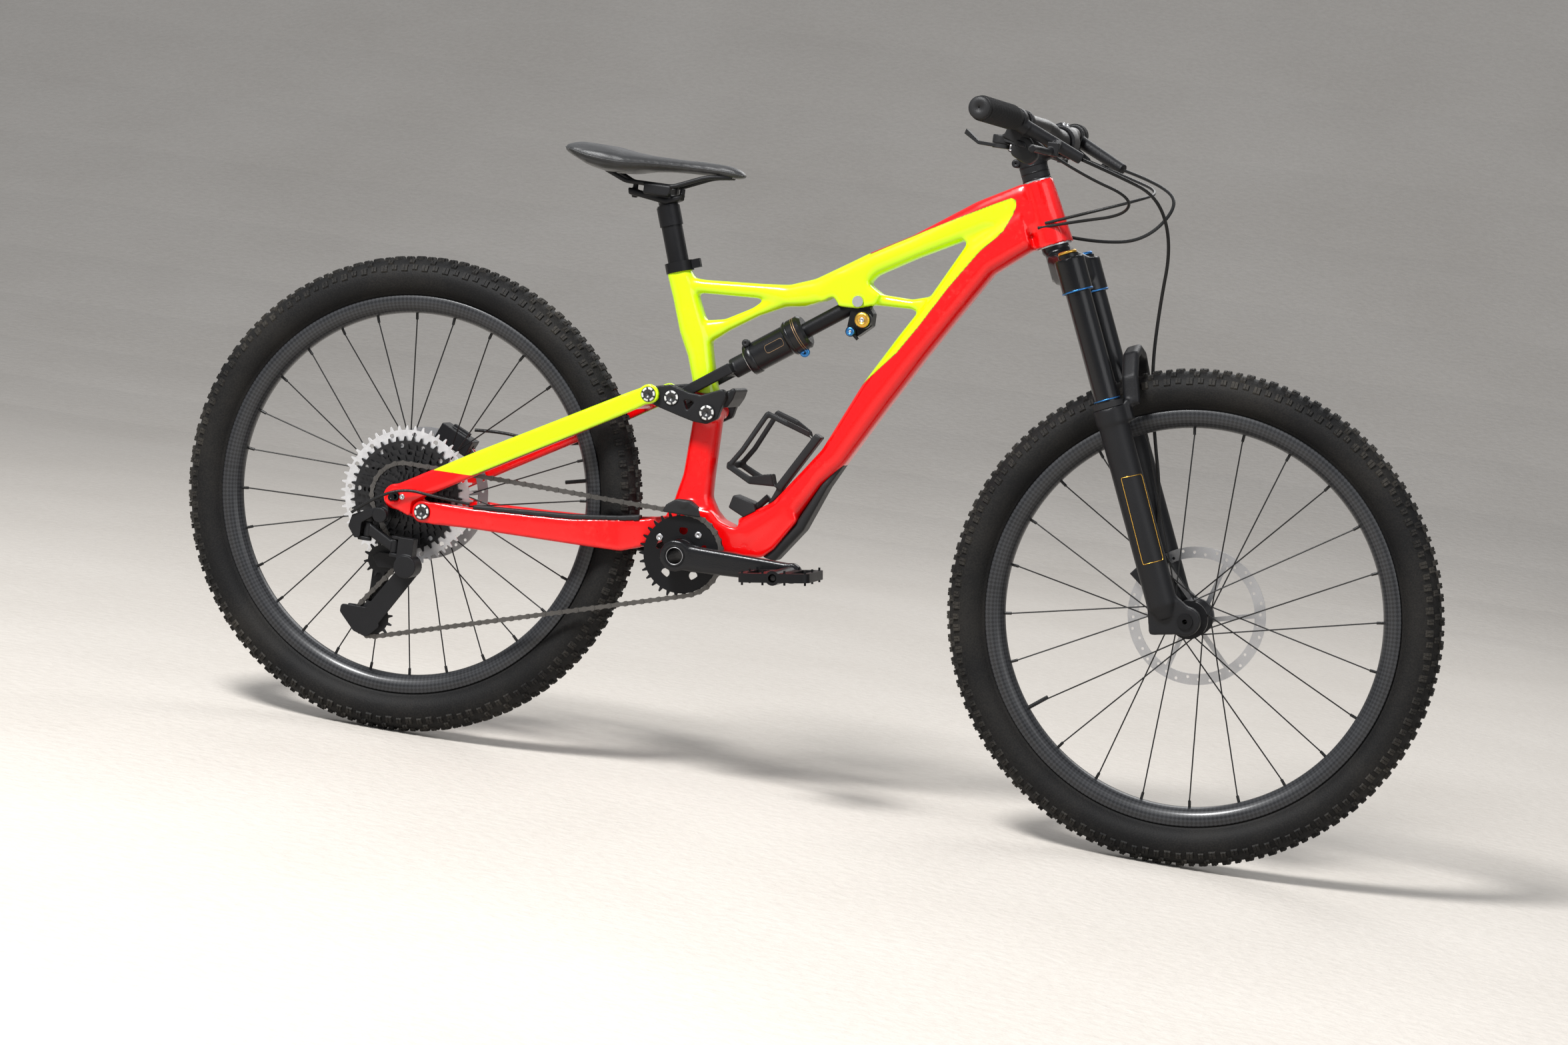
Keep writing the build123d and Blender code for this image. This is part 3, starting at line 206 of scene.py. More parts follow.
# ------------------------------------------------------------------ wheels
# Knobbed rubber tyres sit in hooked carbon rims, which thin black spokes lace to alloy hubs with bolted steel
# discs. Each hub turns on an axle clamped in the fork's feet or the rear dropouts.
REAR, FRONT = (-0.593, 0.357), (0.593, 0.357)
SECTION_RING = 0.3245
CASING_DEEP, CASING_HALF = 0.0285, 0.0305
ROUND_STEPS = 288


def join(*sheets):
    """Several (points, faces) sheets as one."""
    points, faces, count = [], [], 0
    for sheet_points, sheet_faces in sheets:
        points.append(np.asarray(sheet_points, float))
        faces += [[i + count for i in face] for face in sheet_faces]
        count += len(sheet_points)
    return np.concatenate(points), faces


def turned(profile, axle, steps):
    """Turn a closed (r, y) profile about the axle: x = r cos a, z = r sin a."""
    a = np.linspace(0, 2 * pi, steps, endpoint=False)[:, None]
    r, y = np.asarray(profile, float).T
    points = np.stack([axle[0] + r * np.cos(a), y + 0 * a, axle[1] + r * np.sin(a)], -1)
    return grid(points, close_u=True, close_v=True)


def about(axle, a, r, y):
    """Point at radius r and angle a about an axle: x = cx + r cos a, z = cz + r sin a."""
    return np.stack([axle[0] + r * np.cos(a), y + 0 * a, axle[1] + r * np.sin(a)], -1)


def casing(axle):
    """Tyre casing: r = ring + 28.5 mm cos t and y = 30.5 mm sin t, closed by an inner wall from bead to bead."""
    t = np.linspace(-2.42, 2.42, 41)
    outer = list(zip(SECTION_RING + CASING_DEEP * np.cos(t), CASING_HALF * np.sin(t)))
    inner = [(0.2985, 0.0149), (0.2925, 0.0149), (0.2925, 0.0125), (0.305, 0.014), (0.315, 0.02), (0.335, 0.017),
             (0.3495, 0.0)]
    return turned(outer + inner + [(r, -y) for r, y in inner[-2::-1]], axle, ROUND_STEPS)


PITCHES = 66
KNOB_ROWS = (
    # across the section (rad), place in the pitch, half width (rad), length and height (m)
    (0.20, 0.5, 0.155, 0.0115, 0.0047), (-0.20, 0.5, 0.155, 0.0115, 0.0047),
    (0.27, 0.0, 0.13, 0.0075, 0.0046), (-0.27, 0.0, 0.13, 0.0075, 0.0046),
    (0.66, 0.24, 0.15, 0.0085, 0.0040), (-0.66, 0.74, 0.15, 0.0085, 0.0040),
    (1.08, 0.02, 0.20, 0.0105, 0.0046), (-1.08, 0.02, 0.20, 0.0105, 0.0046),
    (1.05, 0.52, 0.16, 0.0085, 0.0044), (-1.05, 0.52, 0.16, 0.0085, 0.0044),
)
TREAD_RADIUS = 0.352
SLOT = 0.30


def knobs(axle, seed):
    """Tread blocks stood on the casing: each is tapered by 12%, slotted across and bent along the wheel's round."""
    rng = np.random.default_rng(seed)
    sheets = []
    s = np.array([-1, -1, -1, -SLOT * 0.5, -SLOT * 0.18, 0, SLOT * 0.18, SLOT * 0.5, 1, 1, 1])
    w = np.array([-1, -1, -0.86, 0.0, 0.86, 1, 1])
    lift_s = np.array([-0.3, 0.0, 1, 1, 0.72, 0.72, 0.72, 1, 1, 0.0, -0.3])
    lift_w = np.array([-0.3, 0.0, 1, 1, 1, 0.0, -0.3])
    lift = np.minimum(lift_s[:, None], lift_w[None, :])
    shrink = 1 - 0.12 * np.clip(lift, 0, 1)
    for pitch in range(PITCHES):
        for t0, phase, half_t, length, height in KNOB_ROWS:
            a0 = 2 * pi * (pitch + phase) / PITCHES + rng.normal(0, 0.0006)
            half_a = length / TREAD_RADIUS / 2
            t = t0 + half_t * w[None, :] * shrink
            a = a0 + half_a * s[:, None] * shrink
            r = SECTION_RING + (0.0278 + height * lift) * np.cos(t)
            y = (0.0300 + height * lift * 0.55) * np.sin(t)
            sheets.append(grid(about(axle, a, r, y)))
    return join(*sheets)


def rubber(name, dust):
    """Tyre rubber, with pale dust in the hollows and on the tread."""
    m = Surface(name, Specular_IOR_Level=0.15)
    mottled = m.noise(9.0, 5)
    fine = m.noise(420.0, 2)
    worn = (mottled * 0.7 + fine * 0.5).step(0.42, 0.85) * dust
    colour = worn.mix((0.005, 0.005, 0.0053, 1), (0.09, 0.08, 0.066, 1))
    return m.set(bump=fine + mottled * 0.3, depth=0.0004, Base_Color=colour, Roughness=worn * 0.25 + 0.62)


def rim_shell(axle):
    """Hooked rim: a rounded trapezoid section turned about the axle."""
    half = 0.0185
    section = [(0.2717, -0.004), (0.2717, 0.004), (0.2735, 0.0085), (0.2770, 0.0135), (0.2825, 0.0172),
               (0.2880, half), (0.2970, half), (0.2980, half - 0.0008), (0.2980, half - 0.0026),
               (0.2968, half - 0.0033), (0.2905, half - 0.0035), (0.2890, 0.0065), (0.2860, 0.0045), (0.2855, 0.0)]
    return turned(section + [(r, -y) for r, y in section[-2:1:-1]], axle, ROUND_STEPS)


TOWS, RIM_MIDDLE = 520, 0.285


def carbon(name, axle):
    """Satin carbon in a woven band: sin(u + v) sin(u - v), with u round the rim and v out along it."""
    m = Surface(name, Coat_Weight=0.25, Coat_Roughness=0.18, Specular_IOR_Level=0.3)
    dx, dz = m.x - axle[0], m.z - axle[1]
    u = m.start.node("Math", props={"operation": "ARCTAN2"}, i0=dz, i1=dx) * RIM_MIDDLE * TOWS
    v = ((dx * dx + dz * dz).math("SQRT") + m.y.math("ABSOLUTE")) * TOWS
    tow = ((u + v).math("SINE") * (u - v).math("SINE")).step(-0.35, 0.35)
    smudge = m.noise(14.0, 4)
    colour = (tow * 0.6 + smudge * 0.35).mix((0.006, 0.0062, 0.007, 1), (0.03, 0.031, 0.034, 1))
    return m.set(bump=tow * 0.5 + smudge, depth=0.00008, Base_Color=colour, Roughness=smudge * 0.22 + 0.28)


def metal(name, dark, light, rough=0.3, metallic=1.0, shine=0.5):
    """Machined or cast metal: two tones in fine grain, with handled, duller patches."""
    m = Surface(name, Metallic=metallic, Specular_IOR_Level=shine)
    patch = m.noise(12.0, 4)
    fine = m.noise(720.0, 2)
    colour = (patch * 0.6 + fine * 0.4).mix((*dark, 1), (*light, 1))
    return m.set(bump=fine, depth=0.0002, Base_Color=colour, Roughness=patch * 0.22 + (rough - 0.08))


def dressed(material, *nodes):
    """Give carried-over solids their finish."""
    for node in nodes:
        frame["nodes"][node].data.materials.clear()
        frame["nodes"][node].data.materials.append(material)


tread_rubber = rubber("tread_rubber", 0.4)
wall_rubber = rubber("sidewall_rubber", 0.12)
black_metal = metal("black_anodised", (0.006, 0.006, 0.0065), (0.016, 0.016, 0.0175), 0.34, metallic=0.6, shine=0.3)
bright_steel = metal("bright_steel", (0.42, 0.42, 0.43), (0.66, 0.66, 0.67), 0.3)
spoke_black = metal("spoke_black", (0.008, 0.008, 0.008), (0.03, 0.03, 0.03), 0.35, metallic=0.7)
for name, axle, seed in (("front", FRONT, 3), ("rear", REAR, 5)):
    wheel = f"{name}_wheel"
    piece(f"{name}_tyre_casing", *casing(axle), wall_rubber, wheel, f"{name}_tyre")
    piece(f"{name}_tyre_knobs", *knobs(axle, seed), tread_rubber, wheel, smooth=False)
    piece(f"{name}_rim_shell", *rim_shell(axle), carbon(f"{name}_rim_carbon", axle), wheel, f"{name}_rim")
    dressed(spoke_black, f"{name}_spokes")
    dressed(black_metal, f"{name}_hub", f"{name}_axle")
    dressed(bright_steel, f"{name}_rotor")

# ------------------------------------------------------------------ front frame
# One hollow carbon shell under gloss lacquer, red with a yellow-green top tube, braces and upper seat tube.
# Bearings are pressed into its bores, and the seat collar, moulded guards and bottle cage are bolted on.
PINSTRIPE, PAINT_EDGE = 0.0013, 0.0016
GREEN = [
    (-0.300, 0.576), (-0.100, 0.571), (0.020, 0.600), (0.070, 0.618), (0.117, 0.672), (0.143, 0.713), (0.178, 0.774),
    (0.217, 0.833), (0.239, 0.857), (0.247, 0.867), (0.256, 0.889), (0.260, 0.904), (0.258, 0.913), (0.251, 0.915),
    (0.229, 0.904), (0.184, 0.880), (0.140, 0.856), (0.090, 0.828), (0.056, 0.808), (0.040, 0.830), (-0.050, 0.800),
    (-0.150, 0.790), (-0.300, 0.800),
]


def lacquer(name):
    """Two-colour gloss lacquer: 'paint' on each point is 1 where it is yellow-green, and 'edge' draws the pinstripe."""
    m = Surface(name, Coat_Weight=0.5, Coat_Roughness=0.06, Specular_IOR_Level=0.3)
    zone = m.start.node("Attribute", out=2, props={"attribute_name": "paint"})
    line = m.start.node("Attribute", out=2, props={"attribute_name": "edge"})
    cloud = m.noise(7.0, 4)
    speck = m.noise(160.0, 2)
    red = cloud.mix((0.60, 0.0, 0.0005, 1), (0.72, 0.0, 0.001, 1))
    green = cloud.mix((0.46, 0.70, 0.0, 1), (0.54, 0.80, 0.0, 1))
    lined = (line * 0.85).mix(zone.step(0.35, 0.65).mix(red, green), (0.03, 0.02, 0.015, 1))
    dust = (cloud * 0.5 + speck * 0.5).step(0.55, 0.8) * 0.06
    colour = dust.mix(lined, (0.5, 0.42, 0.33, 1))
    return m.set(bump=cloud, depth=0.0004, Base_Color=colour, Roughness=speck * 0.1 + 0.24)


def paint(skin, green_amount):
    """Store on every point how far inside the green area it lies, and how near the pinstripe at its edge."""
    co = np.zeros(len(skin.data.vertices) * 3)
    skin.data.vertices.foreach_get("co", co)
    inside = green_amount(*co.reshape(-1, 3).T)
    zone = np.clip(inside / PAINT_EDGE * 0.5 + 0.5, 0, 1)
    line = np.clip(1 - np.abs(inside) / PINSTRIPE, 0, 1)
    for name, values in (("paint", zone), ("edge", line)):
        layer = skin.data.attributes.new(name, "FLOAT", "POINT")
        layer.data.foreach_set("value", values.astype(np.float32))


def depth_inside(x, z, outline):
    """Signed distance from each point to a closed side-view outline, positive inside."""
    px = np.stack([x, z], -1)
    best = np.full(len(x), 9.0)
    inside = np.zeros(len(x), bool)
    for (ax, az), (bx, bz) in zip(outline, outline[1:] + outline[:1]):
        a, b = np.array([ax, az]), np.array([bx, bz])
        t = np.clip(((px - a) @ (b - a)) / ((b - a) @ (b - a)), 0, 1)
        best = np.minimum(best, np.linalg.norm(px - a - t[:, None] * (b - a), axis=1))
        if az != bz:
            crosses = ((az > z) != (bz > z)) & (x < (bx - ax) * (z - az) / (bz - az) + ax)
            inside ^= crosses
    return np.where(inside, best, -best)


def settled(made):
    """The piece's mesh with its modifiers applied."""
    return bpy.data.meshes.new_from_object(made.evaluated_get(bpy.context.evaluated_depsgraph_get()))


def softened(node, voxel, passes, material):
    """A CAD node's shape with its edges rounded as moulded or forged parts are: voxels, then smoothing."""
    source = frame["nodes"][node]
    made = bpy.data.objects.new(node + "_skin", source.data.copy())
    bpy.context.scene.collection.objects.link(made)
    remesh = made.modifiers.new("remesh", "REMESH")
    remesh.mode = "VOXEL"
    remesh.voxel_size = voxel
    relax = made.modifiers.new("relax", "SMOOTH")
    relax.factor = 0.6
    relax.iterations = passes
    fresh = settled(made)
    made.modifiers.clear()
    made.data = fresh
    fresh.polygons.foreach_set("use_smooth", [True] * len(fresh.polygons))
    fresh.materials.clear()
    fresh.materials.append(material)
    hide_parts(node)
    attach(made, source["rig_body"])
    return made


def plastic(name, dark, light, rough=0.5, shine=0.22):
    """Moulded plastic or rubber: fine pebbling and slightly scuffed patches."""
    m = Surface(name, Specular_IOR_Level=shine)
    patch = m.noise(18.0, 4)
    pebble = m.start.node("TexVoronoi", Vector=m.place, Scale=900.0)
    colour = patch.mix((*dark, 1), (*light, 1))
    return m.set(bump=pebble, depth=0.00012, Base_Color=colour, Roughness=patch * 0.2 + (rough - 0.1))


frame_lacquer = lacquer("frame_lacquer")
black_plastic = plastic("black_plastic", (0.008, 0.008, 0.0085), (0.02, 0.02, 0.021))
front_skin = softened("front_frame", 0.0024, 14, frame_lacquer)
paint(front_skin, lambda x, y, z: depth_inside(x, z, GREEN))
softened("frame_guards", 0.0016, 5, black_plastic)
softened("bottle_cage", 0.0014, 4, black_plastic)
dressed(black_metal, "seat_collar")
dressed(bright_steel, "frame_bearings")

# ------------------------------------------------------------------ rear triangle
# Carbon stays in the same lacquer: red chain stays on the frame's main pivot, with a rubber guard on the drive side,
# and seat stays whose outer faces are yellow-green above the dropouts.


def stay_green(x, y, z):
    """The outer face of each seat stay: a band along the stay, cut off aslant above the dropout."""
    along = (x - REAR[0]) * 0.869 + (z - REAR[1]) * 0.495
    across = (z - REAR[1]) * 0.869 - (x - REAR[0]) * 0.495
    band = 0.0125 - np.abs(across - 0.002) + np.clip((along - 0.05) * 0.05, 0, 0.004)
    start = along - 0.075 - (0.012 - across) * 1.8
    outer = np.abs(y) - (0.0745 - 0.058 * np.clip((along - 0.05) / 0.36, 0, 1) * 0.42)
    return np.minimum(np.minimum(band, start), outer)


chainstay_skin = softened("chainstays", 0.0022, 8, frame_lacquer)
paint(chainstay_skin, lambda x, y, z: 0 * x - 1)
seatstay_skin = softened("seatstays", 0.0022, 8, frame_lacquer)
paint(seatstay_skin, stay_green)
softened("chainstay_guard", 0.0015, 5, black_plastic)
dressed(black_metal, "chainstay_pivots")

# ------------------------------------------------------------------ rocker link and pivot caps
# A forged black link turns on the seat tube and carries the seat stays and the shock's yoke. Round caps with a
# broken light ring printed on them close every pivot.
cast_black = metal("cast_black", (0.006, 0.006, 0.0065), (0.014, 0.014, 0.0155), 0.42, metallic=0.2, shine=0.25)
CAP_PROFILE = [(0.0, 0.5), (0.30, 0.5), (0.36, 1.0), (0.86, 1.0), (1.0, 0.45), (1.0, -0.6), (0.0, -0.6)]


def cap(name, centre, y, radius, material, body, side=-1, depth=0.0018):
    """A turned cap: a chamfered face with a round socket in its middle, facing out at 'side'."""
    ring = [(max(r, 0.001) * radius, y + side * h * depth) for r, h in CAP_PROFILE]
    return piece(name, *turned(ring, centre, 48), material, body)


def ringed(name, centre, inner, outer):
    """Black cap face with a broken light ring printed between two radii."""
    m = Surface(name, Coat_Weight=0.3)
    dx, dz = m.x - centre[0], m.z - centre[1]
    reach = (dx * dx + dz * dz).math("SQRT")
    band = (reach > inner) * (reach < outer)
    angle = m.start.node("Math", props={"operation": "ARCTAN2"}, i0=dz, i1=dx)
    broken = (angle * 6).math("SINE").step(-0.75, -0.35)
    scuff = m.noise(260.0, 3)
    colour = (band * broken * (scuff * 0.5 + 0.55)).mix((0.011, 0.011, 0.012, 1), (0.62, 0.62, 0.60, 1))
    return m.set(bump=scuff, depth=0.0001, Base_Color=colour, Roughness=scuff * 0.2 + 0.3)


softened("rocker_link", 0.0016, 5, cast_black)
dressed(black_metal, "link_bolts")
for name, centre, y, radius, body in (
    ("link_rear", (-0.234, 0.5615), 0.0602, 0.0112, "seatstays"),
    ("yoke", (-0.2016, 0.561), 0.0504, 0.0112, "rocker"),
    ("link_main", (-0.145, 0.547), 0.0526, 0.0116, "rocker"),
    ("horst", (-0.548, 0.341), 0.0826, 0.0118, "chainstays"),
):
    printed = ringed(f"{name}_cap_print", centre, radius * 0.66, radius * 0.92)
    for side, hand in ((-1, "right"), (1, "left")):
        cap(f"{name}_cap_{hand}", centre, side * y, radius, printed, body, side)

# ------------------------------------------------------------------ shock
# A gloss black air can slides on the damper, whose eye is bolted under the top tube with its two anodised dials.
# Thin bronze lines and an outline are printed on the can, and a knob and an air valve stand on its sides.
polished_black = metal("gloss_black_metal", (0.005, 0.005, 0.0055), (0.012, 0.012, 0.0135), 0.2, metallic=0.3,
                       shine=0.4)
gold = metal("gold_anodised", (0.62, 0.33, 0.05), (0.88, 0.52, 0.10), 0.25)
blue = metal("blue_anodised", (0.03, 0.14, 0.42), (0.07, 0.28, 0.62), 0.25)
bronze = metal("bronze_print", (0.30, 0.19, 0.10), (0.46, 0.30, 0.17), 0.4)
shock_top, shock_foot = Vector((0.0485, 0, 0.7375)), Vector((-0.2016, 0, 0.561))
shock_axis = (shock_foot - shock_top).normalized()
CAN_RADIUS = 0.0227


def on_shock(s, across=0.0, up=0.0):
    """Point at s along the shock from its frame eye, 'across' to the left and 'up' off its axis."""
    return shock_top + shock_axis * s + Vector((0, across, 0)) + Vector((shock_axis.z, 0, -shock_axis.x)) * up


def spun(name, profile, centre, axis, material, body, steps=48):
    """A closed (radius, height) profile turned about any axis through 'centre'."""
    a = np.linspace(0, 2 * pi, steps, endpoint=False)[:, None]
    r, h = np.asarray(profile, float).T
    turn = np.array(Vector(axis).to_track_quat("Z", "Y").to_matrix())
    local = np.stack([r * np.cos(a), r * np.sin(a), h + 0 * a], -1)
    return piece(name, *grid(local @ turn.T + np.array(centre), True, True), material, body)


def cord_along(name, points, radius, material, body, closed=False):
    """A thin round bead through the given points."""
    curve = bpy.data.curves.new(name, "CURVE")
    curve.dimensions = "3D"
    spline = curve.splines.new("NURBS")
    spline.points.add(len(points) - 1)
    for point, place in zip(spline.points, points):
        point.co = (*place, 1)
    spline.use_cyclic_u = closed
    spline.order_u = 3
    spline.use_endpoint_u = not closed
    curve.bevel_depth = radius
    curve.bevel_resolution = 2
    curve.materials.append(material)
    made = bpy.data.objects.new(name, curve)
    bpy.context.scene.collection.objects.link(made)
    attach(made, body)
    return made


softened("shock_yoke", 0.0012, 5, cast_black)
dressed(black_metal, "shock_damper")
dressed(polished_black, "shock_air_can")
for name, centre, y, radius, material in (
    ("gold_dial", (0.060, 0.712), -0.0262, 0.0112, gold),
    ("blue_dial", (0.044, 0.693), -0.0222, 0.0066, blue),
):
    cap(name, centre, y, radius, material, "shock_damper", depth=0.0035)
    cap(f"{name}_screw", centre, y - 0.0016, radius * 0.34, bright_steel, "shock_damper", depth=0.0016)
LINE = [(0.0259, -0.0004), (0.02625, -0.0004), (0.02625, 0.0004), (0.0259, 0.0004)]
for i, s in enumerate((0.1015, 0.1045)):
    spun(f"shock_line_{i}", LINE, on_shock(s), shock_axis, bronze, "shock_can", 64)
COLLAR = [(0.0150, -0.001), (0.0178, -0.001), (0.0178, 0.0009), (0.0150, 0.0009)]
spun("shock_collar_ring", COLLAR, on_shock(0.1893), shock_axis, bright_steel, "shock_can")
BAND = [(0.0224, -0.006), (0.0238, -0.0055), (0.0241, 0), (0.0238, 0.0055), (0.0224, 0.006)]
spun("can_band", BAND, on_shock(0.1815), shock_axis, polished_black, "shock_can")
SHOULDER = [(0.0225, -0.0015), (0.0262, -0.0035), (0.0266, -0.002), (0.0266, 0.0005), (0.0236, 0.0045),
            (0.0225, 0.0045)]
spun("can_shoulder", SHOULDER, on_shock(0.1175), shock_axis, polished_black, "shock_can")
KNOB = [(0.001, -0.004), (0.006, -0.004), (0.0072, -0.002), (0.0072, 0.003), (0.006, 0.0045), (0.001, 0.0045)]
spun("lockout_knob", KNOB, on_shock(0.108, 0.0, -0.0275), (0, -1, 0), blue, "shock_can")
VALVE = [(0.001, -0.006), (0.0052, -0.006), (0.0058, -0.004), (0.0058, 0.004), (0.0048, 0.006), (0.001, 0.006)]
spun("air_valve", VALVE, on_shock(0.178, -0.012, 0.0235), (0, -1, 0), black_plastic, "shock_can")
LONG = (0.126, 0.133, 0.140, 0.147, 0.154)
loop = [(s, 0.006) for s in LONG] + [(0.155, 0.0)] + [(s, -0.006) for s in LONG[::-1]] + [(0.125, 0.0)]
plate_edge = [on_shock(s, -sqrt(CAN_RADIUS**2 - u * u), u) for s, u in loop]
cord_along("can_outline", plate_edge, 0.0003, bronze, "shock_can", closed=True)

# ------------------------------------------------------------------ fork
# Black anodised stanchions pressed into a forged crown slide in cast lower legs through rubber wiper seals.
# Anodised caps screw into the crown, and a thin gold outline is printed on the right leg.
HEAD_FOOT, HEAD_ANGLE = (0.3007, 0.9), radians(66.5)
s66, c66 = sin(HEAD_ANGLE), cos(HEAD_ANGLE)
LEG_FORWARD, LEG_APART, LEG_RADIUS = 0.0258, 0.068, 0.0222
UP_LEG = (-c66, 0, s66)


def on_leg(n, y, s):
    """Point in the steering frame: n forward of the axis, y across, s up along it."""
    return Vector((HEAD_FOOT[0] + n * s66 - s * c66, y, HEAD_FOOT[1] + n * c66 + s * s66))


softened("fork_lowers", 0.0021, 8, cast_black)
softened("fork_crown_steerer", 0.002, 6, polished_black)
dressed(polished_black, "fork_stanchions")
dressed(black_plastic, "wiper_seals")
TOP_CAP = [(0.0135, -0.003), (0.0135, 0.0004), (0.012, 0.0014), (0.0065, 0.0014), (0.0060, -0.0010),
           (0.002, -0.0010), (0.002, -0.003)]
TRAVEL_RING = [(0.0181, -0.001), (0.0193, -0.0008), (0.0196, 0.0002), (0.0193, 0.0012), (0.0181, 0.0014)]
SLEEVE_LIP = [(0.0221, -0.0012), (0.0226, -0.0008), (0.0226, 0.0010), (0.0221, 0.0014)]
for name, y, tint in (("right", -LEG_APART, gold), ("left", LEG_APART, blue)):
    for part, profile, s, finish in (
        ("fork_cap", TOP_CAP, -0.0664, tint), ("travel_ring", TRAVEL_RING, -0.2835, blue),
        ("sleeve_lip", SLEEVE_LIP, -0.1235, blue),
    ):
        spun(f"{part}_{name}", profile, on_leg(LEG_FORWARD, y, s), UP_LEG, finish, "steering")
corners = [(0.4760, 0.545), (0.5020, 0.5545), (0.5505, 0.4395), (0.5245, 0.4285)]
panel = []
for (x0, z0), (x1, z1) in zip(corners, corners[1:] + corners[:1]):
    for share in np.linspace(0, 1, 10, endpoint=False):
        x, z = x0 + (x1 - x0) * share, z0 + (z1 - z0) * share
        forward = (x - HEAD_FOOT[0]) * s66 + (z - HEAD_FOOT[1]) * c66
        out = sqrt(max(LEG_RADIUS**2 - (forward - LEG_FORWARD) ** 2, 0.00002))
        panel.append((x, -LEG_APART - out, z))
cord_along("leg_outline", panel, 0.0005, gold, "fork_lowers", closed=True)

# ------------------------------------------------------------------ cranks
# Forged arms on a hollow spindle, with a steel ring bolted to the right arm and flat pedals on threaded axles.
# A black ring with a bright lip closes each end of the spindle.
BB = (-0.155, 0.336)
RING_OUT = 0.0882
softened("crank_arms", 0.0019, 7, polished_black)
dressed(black_metal, "chainring", "pedal_right", "pedal_left")
for side, hand in ((-1, "right"), (1, "left")):
    face = side * RING_OUT
    spindle_end = [(0.0122, face), (0.0150, face + side * 0.0006), (0.0154, face + side * 0.0002),
                   (0.0154, face - side * 0.002), (0.0122, face - side * 0.002)]
    piece(f"spindle_ring_{hand}", *turned(spindle_end, BB, 64), black_metal, "crankset")
    lip = [(0.0118, face + side * 0.0003), (0.0123, face + side * 0.0007), (0.0127, face + side * 0.0003),
           (0.0123, face - side * 0.0006)]
    piece(f"spindle_lip_{hand}", *turned(lip, BB, 64), bright_steel, "crankset")
for i, place in enumerate(((-0.1905, 0.3565), (-0.1330, 0.3680))):
    cap(f"ring_bolt_{i}", place, -0.0522, 0.0052, bright_steel, "crankset", depth=0.0012)

# ------------------------------------------------------------------ cassette and derailleur
# Twelve steel cogs, all dark but the bright largest one, on the hub's freehub. The derailleur's cast links and cage
# hang from the right dropout, and its two toothed pulleys turn in the cage.
BRIGHT_COG = -0.0289
sprocket = Surface("cassette_finish", Metallic=0.85)
bright = sprocket.y > BRIGHT_COG
oil = sprocket.noise(120.0, 4)
dark_steel = oil.mix((0.016, 0.016, 0.017, 1), (0.05, 0.05, 0.052, 1))
alloy = oil.mix((0.62, 0.62, 0.63, 1), (0.80, 0.80, 0.81, 1))
cog_tone = bright.mix(dark_steel, alloy)
cassette_steel = sprocket.set(bump=oil, depth=0.0001, Roughness=oil * 0.2 + 0.28, Base_Color=cog_tone)
dressed(cassette_steel, "cassette")
for node in ("derailleur_base", "derailleur_links", "derailleur_knuckle"):
    softened(node, 0.001, 4, cast_black)
softened("derailleur_cage", 0.0009, 3, cast_black)
dressed(black_plastic, "pulley_upper", "pulley_lower")
cap("dropout_bolt", (-0.582, 0.358), -0.0806, 0.0042, bright_steel, "seatstays", depth=0.0012)
cap("axle_end", (-0.5985, 0.355), -0.0806, 0.0052, black_metal, "seatstays", depth=0.0012)

# ------------------------------------------------------------------ chain
# A steel pin chain of 12.7 mm pitch round the ring, cog and both pulleys: inner and outer plates, rollers and pins.
# It runs from the ring's plane in to the cog's, and is split where the stays carry it.
LOWER, UPPER = (-0.616, 0.169), (-0.614, 0.258)
PITCH = 0.0127
RING_TEETH, LOWER_TEETH, UPPER_TEETH, COG_TEETH = 30, 14, 12, 24
CHAIN_SPLIT = -0.47


def pitch_circle(teeth):
    """Pitch radius of a sprocket: 12.7 mm over twice the sine of half a tooth's angle."""
    return PITCH / 2 / sin(pi / teeth)


def chain_path(sprockets):
    """Points along a chain round sprockets (centre, teeth, sense), as runs and arcs in turn."""
    path = []
    runs = []
    for (c0, t0, s0), (c1, t1, s1) in zip(sprockets, sprockets[1:] + sprockets[:1]):
        r0, r1 = pitch_circle(t0), pitch_circle(t1)
        dx, dz = c1[0] - c0[0], c1[1] - c0[1]
        k = s0 * r0 - s1 * r1
        heading = atan2(dz, dx) - atan2(k, sqrt(dx * dx + dz * dz - k * k))
        nx, nz = -sin(heading), cos(heading)
        runs.append(((c0[0] + s0 * r0 * nx, c0[1] + s0 * r0 * nz), (c1[0] + s1 * r1 * nx, c1[1] + s1 * r1 * nz)))
    for i, (centre, teeth, sense) in enumerate(sprockets):
        came, leaves = runs[i - 1][1], runs[i][0]
        a = atan2(came[1] - centre[1], came[0] - centre[0])
        b = atan2(leaves[1] - centre[1], leaves[0] - centre[0])
        turn = -((a - b) % (2 * pi)) if sense > 0 else (b - a) % (2 * pi)
        r = pitch_circle(teeth)
        for share in np.linspace(0, 1, 60):
            path.append((centre[0] + r * cos(a + turn * share), centre[1] + r * sin(a + turn * share)))
        path.append(runs[i][1])
    return np.array(path)


def link_plate(length, waist, half, y0, y1):
    """A chain plate, as a flat peanut: two round ends of radius 'half' and a waist, between y0 and y1."""
    a = np.linspace(-pi / 2 - 0.7, pi / 2 + 0.7, 9)
    right = np.stack([length / 2 + half * np.cos(a), half * np.sin(a)], -1)
    outline = np.concatenate([right, [(0, waist)], -right, [(0, -waist)]])
    count = len(outline)
    points = [(x, y0, z) for x, z in outline] + [(x, y1, z) for x, z in outline]
    faces = [tuple(range(count))[::-1], tuple(range(count, 2 * count))]
    faces += [(i, (i + 1) % count, count + (i + 1) % count, count + i) for i in range(count)]
    return np.array(points), faces


